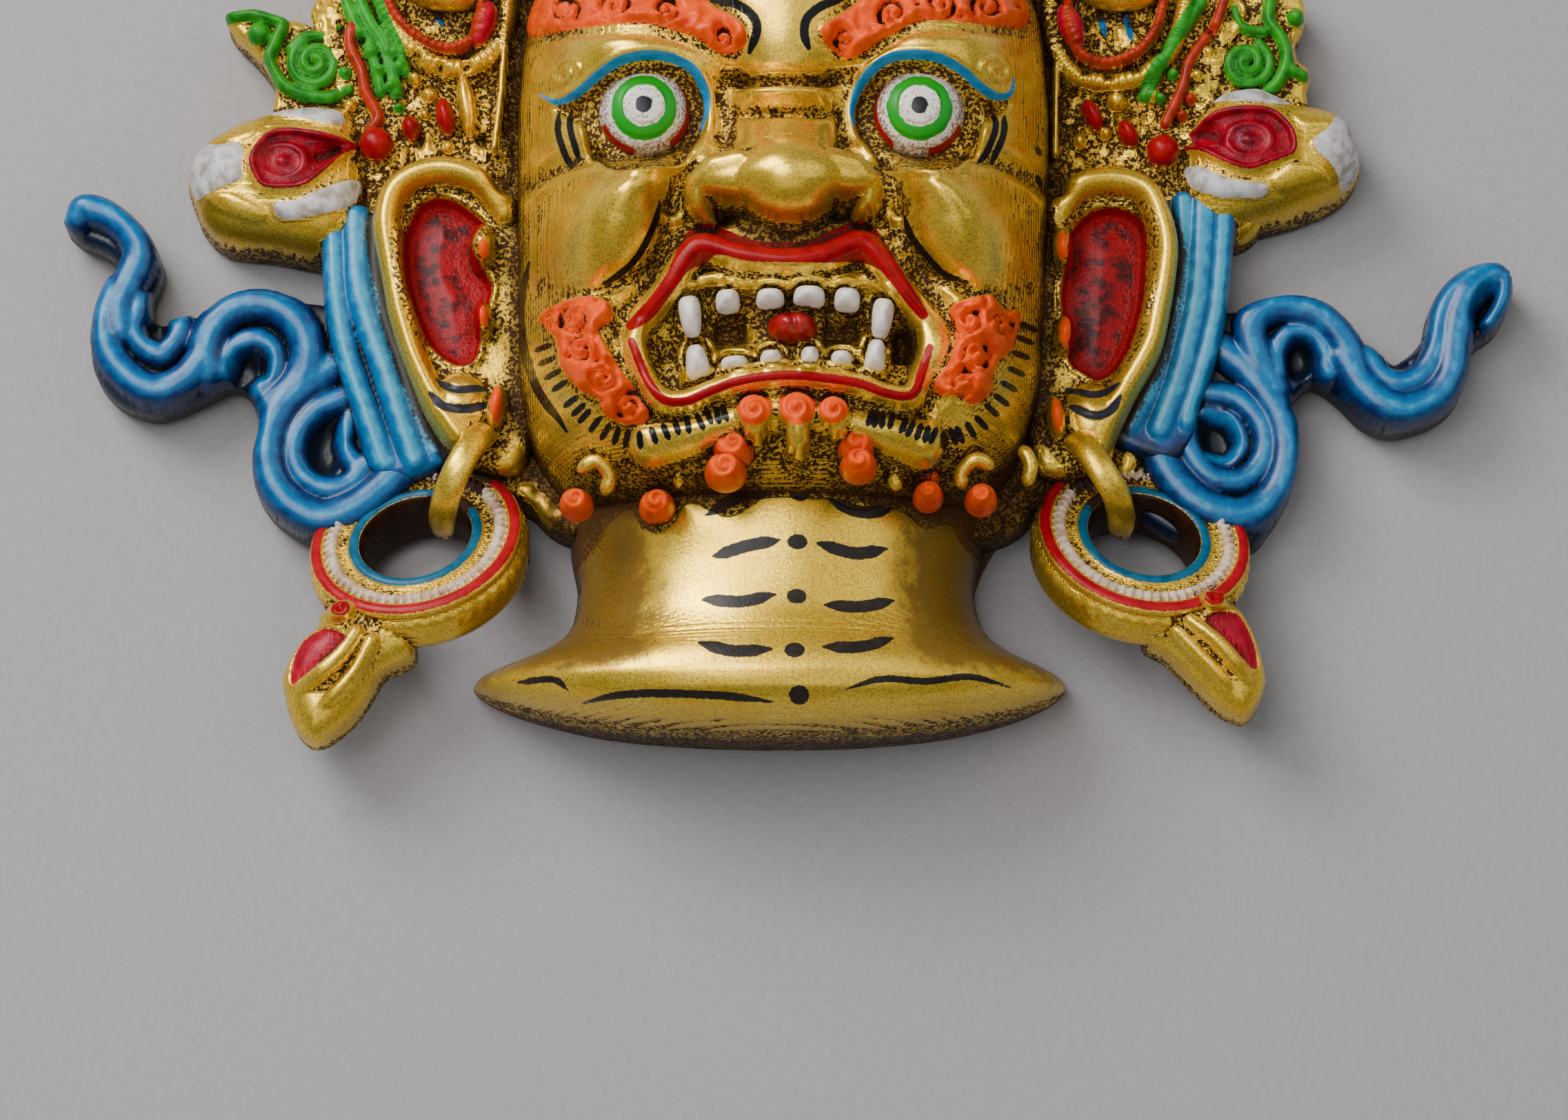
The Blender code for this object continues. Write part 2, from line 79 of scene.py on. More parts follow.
def new_material(name, rough):
    """Material with a Principled shader, and its node tree and shader."""
    material = bpy.data.materials.new(name)
    material.use_nodes = True
    shader = material.node_tree.nodes["Principled BSDF"]
    shader.inputs["Roughness"].default_value = rough
    return material, material.node_tree, shader


def add_node(tree, kind, links=None, **values):
    """Node with its settings; links maps input names or numbers to sockets or plain values."""
    made = tree.nodes.new(kind)
    for name, value in values.items():
        setattr(made, name, value)
    for name, source in (links or {}).items():
        if isinstance(source, bpy.types.NodeSocket):
            tree.links.new(source, made.inputs[name])
        else:
            made.inputs[name].default_value = source
    return made


def calc(tree, operation, first, second=0.0, third=0.0):
    """Math node's result."""
    made = add_node(tree, "ShaderNodeMath", {0: first, 1: second, 2: third}, operation=operation)
    return made.outputs[0]


def sway(tree, value, amount):
    """A noise made to swing about nought, by an amount from end to end."""
    return calc(tree, "MULTIPLY", calc(tree, "SUBTRACT", value, 0.5), amount)


def feed(tree, made, values):
    """Link or set a node's live inputs by name."""
    for name, source in values.items():
        socket = [s for s in made.inputs if s.name == name and s.enabled][0]
        if isinstance(source, bpy.types.NodeSocket):
            tree.links.new(source, socket)
        else:
            socket.default_value = source


def mix_colour(tree, amount, first, second):
    """Mix node's colour."""
    made = add_node(tree, "ShaderNodeMix", data_type="RGBA")
    feed(tree, made, {"Factor": amount, "A": first, "B": second})
    return [s for s in made.outputs if s.enabled][0]


def mix_value(tree, amount, first, second):
    """First value to second value by an amount from 0 to 1."""
    return calc(tree, "MULTIPLY_ADD", amount, calc(tree, "SUBTRACT", second, first), first)


def noise(tree, scale, detail=3.0, rough=0.55):
    """Noise value on the object's own coordinates, scale in waves a metre."""
    where = add_node(tree, "ShaderNodeTexCoord").outputs["Object"]
    made = add_node(tree, "ShaderNodeTexNoise",
                    {"Vector": where, "Scale": scale, "Detail": detail, "Roughness": rough})
    return made.outputs["Fac"]


def steps(tree, value, low, high, out_low=0.0, out_high=1.0):
    """Smooth step of a value between two limits."""
    made = add_node(tree, "ShaderNodeMapRange", interpolation_type="SMOOTHSTEP")
    feed(tree, made, {"Value": value, "From Min": low, "From Max": high, "To Min": out_low,
                      "To Max": out_high})
    return made.outputs[0]


def attribute(tree, name):
    """A piece's own mark, read as a number."""
    return add_node(tree, "ShaderNodeAttribute", attribute_name=name).outputs["Fac"]


def bump(tree, shader, height, distance, strength=1.0):
    """Relief too fine for the mesh."""
    made = add_node(tree, "ShaderNodeBump", {"Height": height, "Distance": distance,
                                             "Strength": strength})
    tree.links.new(made.outputs["Normal"], shader.inputs["Normal"])


def make_floor():
    """Square sheet on the ground, faintly uneven in tone."""
    mesh = bpy.data.meshes.new("floor")
    corners = ((-1, -1), (1, -1), (1, 1), (-1, 1))
    mesh.from_pydata([(FLOOR_HALF * x, FLOOR_HALF * y, 0) for x, y in corners], [], [(0, 1, 2, 3)])
    floor = bpy.data.objects.new("floor", mesh)
    bpy.context.scene.collection.objects.link(floor)
    material, tree, shader = new_material("floor_sheet", 0.85)
    tone = steps(tree, noise(tree, 900.0, 4.0), 0.3, 0.7)
    tree.links.new(mix_colour(tree, tone, srgb(140, 137, 137), srgb(146, 143, 143)),
                   shader.inputs["Base Color"])
    mesh.materials.append(material)


def make_light(name, place, aim, size, power):
    """Square soft light at a place in millimetres on the drawing, aimed at another."""
    light = bpy.data.lights.new(name, "AREA")
    light.shape = "RECTANGLE"
    light.size, light.size_y = size
    light.energy = power
    lamp = bpy.data.objects.new(name, light)
    start, end = Vector(in_room(place)), Vector(in_room(aim))
    lamp.location = start
    lamp.rotation_euler = (end - start).to_track_quat("-Z", "Y").to_euler()
    bpy.context.scene.collection.objects.link(lamp)


def make_camera():
    """Camera at the photograph's angle: 13 degrees from straight above, towards the chin."""
    data = bpy.data.cameras.new("camera")
    data.sensor_width = 36.0
    data.lens = data.sensor_width / 2 / (HALF_VIEW / CAMERA_FAR)
    data.clip_start = 0.01
    camera = bpy.data.objects.new("camera", data)
    camera.location = Vector(in_room((-0.2, -CAMERA_FAR * sin(CAMERA_LEAN), CAMERA_FAR * cos(CAMERA_LEAN))))
    camera.rotation_euler = (CAMERA_LEAN, 0.0, 0.0)
    bpy.context.scene.collection.objects.link(camera)
    bpy.context.scene.camera = camera


make_floor()
for light_name, (light_place, light_size, light_power) in LIGHTS.items():
    make_light(light_name, light_place, LIGHT_AIM, light_size, light_power)
make_camera()
world = bpy.data.worlds.new("studio")
world.use_nodes = True
world.node_tree.nodes["Background"].inputs["Color"].default_value = (0.75, 0.75, 0.76, 1.0)
world.node_tree.nodes["Background"].inputs["Strength"].default_value = 0.27
bpy.context.scene.world = world

# Face
# The face and the sides of the head, one smooth sheet of relief from under the chin to behind the crown:
# cast resin, gold painted, with enamel strokes laid on by hand. It is one with every other part.
HEAD_SECTIONS = [
    (2.2, -24.0, 22.0, 25.0), (3.2, -26.5, 24.5, 30.5), (5.0, -29.4, 27.4, 35.0),
    (8.0, -32.2, 29.9, 39.0), (13.0, -35.0, 32.8, 41.6), (20.0, -36.7, 35.0, 42.4),
    (28.0, -37.3, 35.9, 42.8), (40.0, -37.4, 36.5, 42.6), (52.0, -37.4, 36.8, 42.0),
    (62.0, -37.3, 36.8, 43.5), (74.0, -36.0, 35.6, 43.0), (82.0, -31.0, 31.0, 38.0),
]
HEAD_SQUARE = 2.6
FAR = 6.0
LOWEST = -50.0
FULL_RELIEF = 14.0
LATTICE = 128
ORANGE, DEEP_ORANGE = srgb(228, 78, 0), srgb(204, 58, 0)
RED, DEEP_RED = srgb(146, 0, 10), srgb(122, 0, 7)
VIEW_SLOPE = tan(CAMERA_LEAN)
FACE_LEVEL = 42.0
BROWN = srgb(58, 34, 12)
pieces = []


def curve(points, step=0.6, closed=False):
    """Catmull-Rom curve through the points, cut into equal short steps."""
    p = np.asarray(points, float)
    if closed:
        p = np.vstack([p[-1], p, p[0], p[1]])
    else:
        p = np.vstack([2 * p[0] - p[1], p, 2 * p[-1] - p[-2]])
    runs = []
    for a, b, c, d in zip(p, p[1:], p[2:], p[3:]):
        count = max(2, int(np.linalg.norm(c[:2] - b[:2]) / step) + 1)
        t = np.linspace(0, 1, count, endpoint=False)[:, None]
        runs.append(0.5 * (2 * b + (c - a) * t + (2 * a - 5 * b + 4 * c - d) * t * t
                           + (3 * b - a - 3 * c + d) * t ** 3))
    return np.vstack(runs if closed else runs + [p[-2:-1]])


def nearest(x, y, line, closed=False):
    """Distance of each point to a line, share of the way along it, and the foot on it."""
    starts = line[:, :2]
    ends = np.roll(starts, -1, axis=0) if closed else starts[1:]
    starts = starts if closed else starts[:-1]
    best = np.full(len(x), 1e9)
    along = np.zeros(len(x))
    foot = np.zeros((len(x), 2))
    for k, (a, b) in enumerate(zip(starts, ends)):
        run = b - a
        size = max(run @ run, 1e-12)
        t = np.clip(((x - a[0]) * run[0] + (y - a[1]) * run[1]) / size, 0, 1)
        fx, fy = a[0] + t * run[0], a[1] + t * run[1]
        far = (x - fx) ** 2 + (y - fy) ** 2
        near = far < best
        best = np.where(near, far, best)
        along = np.where(near, (k + t) / len(starts), along)
        foot[near, 0], foot[near, 1] = fx[near], fy[near]
    return np.sqrt(best), along, foot


def inside(x, y, outline):
    """Whether each point lies inside a closed outline, by counting crossings."""
    odd = np.zeros(len(x), bool)
    for (ax, ay), (bx, by) in zip(outline[:, :2], np.roll(outline[:, :2], -1, axis=0)):
        if ay != by:
            crosses = ((ay > y) != (by > y)) & (x < (bx - ax) * (y - ay) / (by - ay) + ax)
            odd ^= crosses
    return odd


def close_by(x, y, line, reach):
    """Which points lie within reach of the box round a line."""
    low, high = line.min(0)[:2] - reach, line.max(0)[:2] + reach
    return (x > low[0]) & (x < high[0]) & (y > low[1]) & (y < high[1])


def area_distance(x, y, outline, far=FAR):
    """Signed distance in millimetres to a smooth closed outline, negative inside, capped at far."""
    line = curve(outline, 0.5, closed=True)
    near = close_by(x, y, line, far)
    out = np.full(len(x), far)
    if near.any():
        d = nearest(x[near], y[near], line, closed=True)[0]
        out[near] = np.where(inside(x[near], y[near], line), -d, np.minimum(d, far))
    return out


def stroke_distance(x, y, points, half_width, taper=0.35, far=FAR):
    """Signed distance to a brush stroke that thins towards both ends."""
    line = curve(points, 0.5)
    near = close_by(x, y, line, far)
    out = np.full(len(x), far)
    if near.any():
        d, t, _ = nearest(x[near], y[near], line)
        out[near] = np.minimum(d - half_width * np.minimum(1, taper + 4 * np.minimum(t, 1 - t)), far)
    return out


def blend_up(first, second, soft):
    """The higher of two surfaces, their crease rounded over a few tenths."""
    rise = np.maximum(soft - np.abs(first - second), 0)
    return np.maximum(first, second) + rise * rise / (4 * soft)


def grain(x, y, size, seed):
    """Even random bumps from 0 to 1: a seeded lattice of heights, smoothly joined."""
    heights = np.random.default_rng(seed).random((LATTICE, LATTICE))
    u, v = np.asarray(x) / size, np.asarray(y) / size
    i, j = np.floor(u).astype(int), np.floor(v).astype(int)
    a, b = u - i, v - j
    a, b = a * a * (3 - 2 * a), b * b * (3 - 2 * b)
    corner = [heights[(i + p) % LATTICE, (j + q) % LATTICE] for p in (0, 1) for q in (0, 1)]
    return (corner[0] * (1 - a) * (1 - b) + corner[1] * (1 - a) * b
            + corner[2] * a * (1 - b) + corner[3] * a * b)


def seen(x, y, z, level):
    """Where a point shows on the drawing's plane at a level, looking along the camera's lean."""
    return x * (1 + (z - level) / CAMERA_HEIGHT), y + VIEW_SLOPE * (z - level)


def in_oval(x, y, centre, half, turn):
    """Places of points in a turned oval, in shares of its half sizes."""
    c, s = cos(radians(turn)), sin(radians(turn))
    dx, dy = x - centre[0], y - centre[1]
    return (dx * c + dy * s) / half[0], (dy * c - dx * s) / half[1]


def round_top(r, top, drop):
    """Height of a round top by the square of the share of the way to its edge, nothing beyond."""
    return np.where(r < 1, top - drop * (1 - np.sqrt(np.clip(1 - r, 0, 1))), LOWEST)


def shoulder(d, edge):
    """Quarter round from 0 at an outline to 1 an edge's width inside it."""
    return np.sqrt(1 - np.clip(1 + d / edge, 0, 1) ** 2)


def raise_ball(x, y, z, centre, half, turn, top, drop, soft=0.6):
    """Oval swelling with a round top."""
    u, v = in_oval(x, y, centre, half, turn)
    return blend_up(z, round_top(u ** 2 + v ** 2, top, drop), soft)


def raise_rope(x, y, z, points, half_width, drop, soft=0.4, taper=1.0):
    """Half-round rope along points x, y, top height; taper under 1 thins its ends."""
    line = curve(points, 0.5)
    near = close_by(x, y, line, half_width + 0.2)
    if not near.any():
        return z
    d, t, _ = nearest(x[near], y[near], line)
    tops = np.interp(t, np.linspace(0, 1, len(line)), line[:, 2])
    width = half_width * np.minimum(1, taper + 5 * np.minimum(t, 1 - t))
    z = z.copy()
    z[near] = blend_up(z[near], round_top((d / width) ** 2, tops, drop), soft)
    return z


def cut_line(x, y, z, points, width, depth):
    """Bell-shaped groove along a line; a negative depth raises a thin ridge."""
    line = curve(points, 0.5)
    near = close_by(x, y, line, 3 * width)
    z = z.copy()
    if near.any():
        d, t, _ = nearest(x[near], y[near], line)
        ends = np.clip(6 * np.minimum(t, 1 - t) + 0.25, 0, 1)
        z[near] -= depth * ends * np.exp(-(d / width) ** 2)
    return z


def spiral(centre, radius, turns, start, hand=1.0):
    """Points of a spiral winding in from its rim."""
    t = np.linspace(0, 1, int(10 * turns) + 2)
    angle = radians(start) + hand * 2 * pi * turns * t
    r = radius * (1 - 0.86 * t)
    return np.stack([centre[0] + r * np.cos(angle), centre[1] + r * np.sin(angle)], axis=1)


def write_mark(mesh, mark, values):
    """One number for each point of a mesh, for its material to read."""
    mesh.attributes.new(mark, "FLOAT", "POINT").data.foreach_set(
        "value", np.asarray(values, np.float32))


def add_piece(name, points, faces, material, marks=None):
    """One mesh from drawing millimetres, riding on the casting, with its marks as attributes."""
    points = np.asarray(points, float)
    mesh = bpy.data.meshes.new(name)
    mesh.from_pydata(in_room(points).tolist(), [], [tuple(f) for f in faces])
    mesh.validate()
    mesh.polygons.foreach_set("use_smooth", np.ones(len(mesh.polygons), bool))
    for mark, values in (marks or {}).items():
        write_mark(mesh, mark, values)
    mesh.materials.append(material)
    piece = bpy.data.objects.new(name, mesh)
    bpy.context.scene.collection.objects.link(piece)
    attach(piece, "root")
    pieces.append((piece, points))
    return piece


def grid_faces(rows, columns, around=False):
    """Quads of a grid of points; around joins its last column to its first."""
    across = columns if around else columns - 1
    i, j = np.meshgrid(np.arange(rows - 1), np.arange(across), indexing="ij")
    k = (j + 1) % columns
    return np.stack([i * columns + j, i * columns + k, (i + 1) * columns + k,
                     (i + 1) * columns + j], axis=-1).reshape(-1, 4).tolist()


BROW_LEFT = [
    (-34.5, 64.6), (-30, 63.6), (-20, 63.6), (-16.6, 63.1), (-11.9, 61.6), (-9.5, 59.8), (-7, 59.4),
    (-5.2, 61), (-6, 63.6), (-9.6, 66), (-12, 68.4), (-17, 71), (-25, 72), (-33, 70.6),
]
BROW_RIGHT = [
    (32, 65), (25.5, 64), (20.6, 64.2), (17.1, 63.7), (15.2, 62.6), (12.7, 61.2), (10, 59.3), (7.8, 58.9),
    (5.3, 60.8), (4.8, 62.8), (7.3, 64.6), (10, 67), (13, 70), (22, 72), (31, 70.6),
]
WHISKER_LEFT = [
    (-32.6, 23.6), (-29.8, 25.3), (-26, 26), (-23.1, 24.8), (-23.1, 22.4), (-24.7, 21.2), (-22.9, 18.1),
    (-21.5, 15.7), (-19.2, 12.8), (-17.5, 9.8), (-20.1, 8.5), (-23.8, 9.9), (-24.4, 11.8), (-27.1, 13.3),
    (-28.7, 15.2), (-29.8, 17.1), (-30.3, 20.5),
]
WHISKER_RIGHT = [
    (21.8, 24.5), (25.5, 26), (27.3, 26.2), (28.7, 24.5), (31, 24.3), (30.5, 21.4), (29.6, 18.6),
    (27.8, 16.9), (26.8, 12.8), (24.5, 11.3), (22.7, 12.4), (19.4, 12.8), (20.1, 15.2), (21.5, 17.1),
    (22.2, 20.5),
]
SOCKET_LEFT = [
    (-30.6, 53), (-27.6, 54.4), (-24.9, 56.6), (-22, 58.6), (-18.8, 59.3), (-15.4, 59), (-12.8, 57.6),
    (-10.9, 55), (-10.4, 52), (-11.2, 48.4), (-13.9, 44.7), (-18.8, 43.1), (-23.3, 43.5), (-26.2, 46.6),
    (-27.1, 50),
]
SOCKET_RIGHT = [
    (29.6, 53.4), (27.4, 54.4), (25, 56.4), (21.6, 58.6), (17.6, 59.2), (14.2, 58.8), (11.6, 57.2),
    (9.8, 54.6), (9.2, 52), (9.8, 48.8), (12.8, 44.6), (17.8, 43), (22.4, 43.6), (25.4, 46.6), (26.4, 50),
]
LID_LEFT = [(-32.8, 54.9), (-30.5, 53.4), (-27.8, 54.2), (-25.1, 56.3), (-22.2, 58.2), (-18.8, 59.0),
            (-15.3, 58.7), (-12.4, 57.2), (-10.9, 54.8), (-10.4, 52.1), (-11.4, 48.7)]
LID_RIGHT = [(30.4, 56.7), (30.0, 54.6), (28.2, 53.9), (26, 55.0), (23.6, 57.0), (20.6, 58.6),
             (17.1, 59.1), (13.7, 58.6), (11.2, 56.8), (9.5, 54.4), (8.8, 51.8), (9.1, 49.6)]
UPPER_LIP = [
    (-20.5, 21.9), (-17.7, 25), (-15.2, 28.6), (-13.6, 32.4), (-12.2, 34.6), (-10.3, 35.3), (-7.5, 34.3),
    (-4.7, 33.1), (-0.1, 32.7), (3.2, 33.1), (6.4, 34.5), (9.4, 35.7), (11.1, 35.1), (12.5, 33.4),
    (14.3, 30), (16.2, 26.9), (18.2, 23.4), (16.6, 25), (14.3, 28.1), (12.5, 30), (9.7, 31.1), (5.5, 30.9),
    (0, 30.9), (-4.7, 31.1), (-9, 32), (-10.8, 30.8), (-13.1, 29.8), (-15, 27.2), (-17.9, 23.4),
]
LOWER_LIP = [
    (-20.3, 19.8), (-19.1, 16.7), (-17.7, 13.7), (-15.9, 11.8), (-13.1, 11.6), (-10.3, 12.8), (-6.6, 14.2),
    (-2.9, 14.9), (0.8, 15.1), (5.5, 14.7), (9.7, 14), (12.9, 12.8), (15.7, 12.3), (17.1, 13), (17.8, 15.2),
    (19, 19),
]
MOUTH = [
    (-18.4, 20.6), (-16.8, 24.6), (-14, 28), (-10, 29.6), (-4, 29.2), (0, 29), (4, 29.2), (10, 29.4),
    (13.6, 28), (16.2, 24.6), (17.6, 20.6), (16.6, 16.2), (14.6, 14.2), (9.6, 15.8), (1, 16.9),
    (-6.6, 16.2), (-12.6, 13.6), (-16.2, 14), (-17.6, 16.6),
]
CURLS = [
    ((-27.6, 22.6), 2.5, 1.6, 40, 1), ((-30.4, 22.6), 1.5, 1.2, 200, -1), ((-26.8, 18.4), 2.4, 1.7, 300, 1),
    ((-24.2, 14.6), 2.3, 1.6, 120, -1), ((-20.6, 10.8), 2.0, 1.6, 30, 1), ((24.2, 22.4), 2.4, 1.7, 60, 1),
    ((28.6, 21.8), 1.9, 1.4, 200, -1), ((25.4, 17.6), 2.4, 1.7, 250, -1), ((23.6, 13.8), 2.0, 1.5, 20, 1),
    ((-29.6, 66.8), 2.4, 1.5, 260, 1), ((-22.4, 66.6), 2.4, 1.5, 250, -1), ((-16, 65.8), 2.0, 1.4, 250, 1),
    ((-8.4, 61.8), 1.5, 1.4, 220, 1), ((27, 67), 2.4, 1.5, 260, -1), ((20.6, 66.8), 2.3, 1.5, 250, 1),
    ((14.4, 65.2), 2.0, 1.4, 250, -1), ((8, 61.4), 1.6, 1.4, 300, -1),
]
BEARD_CURLS = [
    ((-4.1, 10.9), (-4.0, 7.4), 2.3), ((1.5, 11.1), (1.6, 5.8), 2.45), ((6.3, 10.9), (7.3, 8.0), 2.05),
]
CHEEK_STROKES = [
    [(-16.6, 38.8), (-17.3, 35.7), (-19.3, 31.6), (-21.8, 29), (-24.3, 27.6)],
    [(15.6, 37.2), (16.6, 34.2), (18.5, 31.6), (21, 29), (24.2, 27.9)],
    [(-28.4, 52.3), (-28.6, 49.5), (-27.3, 44.9)],
    [(-30.1, 52), (-30.2, 49.2), (-29.4, 46.4), (-28.3, 44)],
    [(27.6, 51.9), (27.9, 49.5), (26.8, 46.4), (25.4, 44.4)],
    [(29.1, 51.5), (28.9, 48.5), (27.2, 44.6)],
    [(33.4, 47.9), (33.8, 46.8)], [(33.4, 43.9), (33.8, 42.7)], [(-36.2, 47.6), (-36.4, 46.4)],
]
FRINGE_STROKES = [
    [(-9.7, 66.7), (-7, 66.2), (-4.5, 64.4), (-3.8, 62.3), (-4.8, 59.3)],
    [(7.8, 67), (4.8, 65.6), (2.9, 63.9), (2.5, 61.8), (3.1, 59.8)],
]
HATCH_LEFT = [
    (-31.9, 19.4), (-31.4, 17.5), (-30.6, 15.6), (-29.7, 14), (-28.2, 11.8), (-27.2, 10.7), (-26.4, 9.8),
    (-25, 8.7), (-23.6, 7.7), (-22.2, 7.1), (-20.8, 6.8), (-19.1, 6.5), (-17.3, 7.1), (-15.7, 7.6),
    (-14.3, 8.3), (-12.8, 8.5), (-11.2, 8.9), (-10.1, 9.7), (-8.9, 9.8), (-8, 10.1),
]
HATCH_RIGHT = [
    (32.1, 22.5), (31.5, 20.6), (31, 18.4), (30.4, 16.1), (29.4, 14), (28.4, 12.1), (27.1, 10.7), (25.7, 9),
    (24.3, 8), (22.9, 7.3), (22, 7.1), (20.7, 6.4), (19.4, 7.1), (18.5, 7.3), (17.5, 7.6), (16.4, 8),
    (15.5, 8.5), (13.9, 9.1), (12.7, 9.2), (11.8, 9.3), (11.1, 9.5),
]
JAW_LINE = [(-33.9, 31.6), (-34.7, 27.7), (-35.0, 24.0), (-34.6, 20.3), (-33.8, 17.1),
            (-33.0, 14.6), (-31.5, 11.8), (-29.9, 9.7), (-28.7, 7.8)]
DIMPLES = [
    (-32, 66.2), (-27.6, 69.6), (-24, 64.8), (-19.6, 69.2), (-13.2, 63.4), (-10.6, 61.2), (-6.8, 60.6),
    (30, 69), (25, 69.4), (23.4, 65.4), (17, 68.4), (17.8, 64.8), (11.6, 62.8), (8.2, 60.2), (-31.4, 20.6),
    (-29.2, 24.6), (-24.6, 24.2), (-28.6, 19.6), (-24.6, 17.2), (-22.2, 13.4), (-21.8, 9.8), (-25.4, 12),
    (22.8, 20), (26.6, 24.2), (29.4, 24), (29.6, 20), (23.6, 16), (27, 15), (21.4, 13.6), (24.6, 12.2),
]
PAIRED_GROOVES = [
    ([(7.6, 58.4), (8.6, 54), (8, 50), (8.6, 46.4)], 1.8, 2.0),
    ([(35, 39.4), (29.6, 42.6), (23, 44.6), (17, 45.2), (11.6, 47.4)], 0.8, -0.9),
    ([(35.4, 42), (29, 45), (23.6, 46.4)], 1.4, 2.4),
    ([(15.6, 37), (15.2, 40), (14.2, 42.8), (11.6, 45.6)], 1.3, 3.4),
    ([(15.6, 37), (16.6, 33.6), (19.4, 29.8), (25.4, 26.6)], 1.2, 2.6),
    ([(25.4, 26.6), (29.4, 26.8), (33, 29)], 1.8, 1.2),
    ([(9, 35.2), (12.6, 36.4), (15, 33.4)], 1.0, 1.2),
    ([(14.8, 34), (17.6, 29.4), (20.8, 24.6), (22.4, 19.6), (20.6, 14.4), (17, 10.8),
      (12, 10.8), (6, 12.6), (0, 13.3)], 1.5, 2.2),
]


def hatch(x, y, centres, hand):
    """Short strokes across the jaw, square to the row of their middles."""
    row = np.asarray(centres, float)
    along = np.gradient(row, axis=0)
    along /= np.linalg.norm(along, axis=1)[:, None]
    best = np.full(len(x), FAR)
    for (cx, cy), (ax, ay) in zip(row, along):
        nx, ny = -ay * hand, ax * hand
        ends = [(cx - 1.1 * nx, cy - 1.1 * ny), (cx + 1.1 * nx, cy + 1.1 * ny)]
        best = np.minimum(best, stroke_distance(x, y, ends, 0.42, 0.5, 1.5))
    return best


def swell(x, y, z, centre, half, turn, high):
    """Soft swelling added to a surface: high (1 - r^2)^2 inside its oval."""
    u, v = in_oval(x, y, centre, half, turn)
    return z + high * np.clip(1 - (u ** 2 + v ** 2), 0, 1) ** 2


def face_masses(x, y, z):
    """Rounded masses of the face; the last ones are placed where they show, set back by their height."""
    def place(point, top):
        return point[0], point[1] - VIEW_SLOPE * (top - FACE_LEVEL)

    def ridge(points, half_width, drop, soft, taper=1.0):
        path = [(*place((px, py), pz), pz) for px, py, pz in points]
        return raise_rope(x, y, z, path, half_width, drop, soft, taper)

    for side in (-1, 1):
        z = swell(x, y, z, (side * 27, 50), (15, 27), 0, 5.0)
        z = swell(x, y, z, (side * 20, 60), (19, 9), 0, 4.5)
        z = swell(x, y, z, (side * 26, 17.5), (15, 17), side * 8, 8.0)
        z = swell(x, y, z, (side * 23.6, 35.4), (14.5, 11), side * -24, 11.0)
        z = swell(x, y, z, (side * 16.4, 41.6), (10, 4.6), side * -38, 4.6)
    z = raise_ball(x, y, z, place((0, 67), 48.4), (8.8, 11.6), 0, 48.4, 7, 2.0)
    z = ridge([(-17.6, 7.4, 40.5), (-12.6, 8.8, 43), (-8, 10.4, 44.2), (0, 11.6, 44.8), (8, 10.6, 44.2),
               (13, 9.2, 43), (17.8, 7.4, 40.5)], 3.1, 4.0, 1.6)
    z = ridge([(0, 52.6, 46.6), (0, 49.6, 49.2), (-0.2, 46.4, 52.4)], 6.6, 6.0, 1.8)
    z = raise_ball(x, y, z, place((-0.4, 42.6), 52.8), (12.0, 3.2), 0, 52.8, 4.5, 2.0)
    z = raise_ball(x, y, z, place((0.4, 43.0), 55.6), (6.8, 5.2), 0, 55.6, 7.0, 3.0)
    for line in ([(-5.6, 44.6, 52.8), (-9.4, 43.8, 51.8), (-11.4, 41.8, 50.2), (-11.4, 39.6, 48.8),
                  (-10.2, 37.8, 47.8)],
                 [(5.2, 44.8, 52.8), (8.8, 44.0, 51.8), (10.7, 42.2, 50.2), (10.9, 40.2, 48.8),
                  (9.9, 38.4, 47.8)]):
        z = ridge(line, 1.9, 3.6, 1.2, 0.7)
    return z


def lift_patch(x, y, z, outline, high, edge):
    """Raise everything inside an outline by a height, its side rounded over the edge's width."""
    return z + high * shoulder(area_distance(x, y, outline), edge)


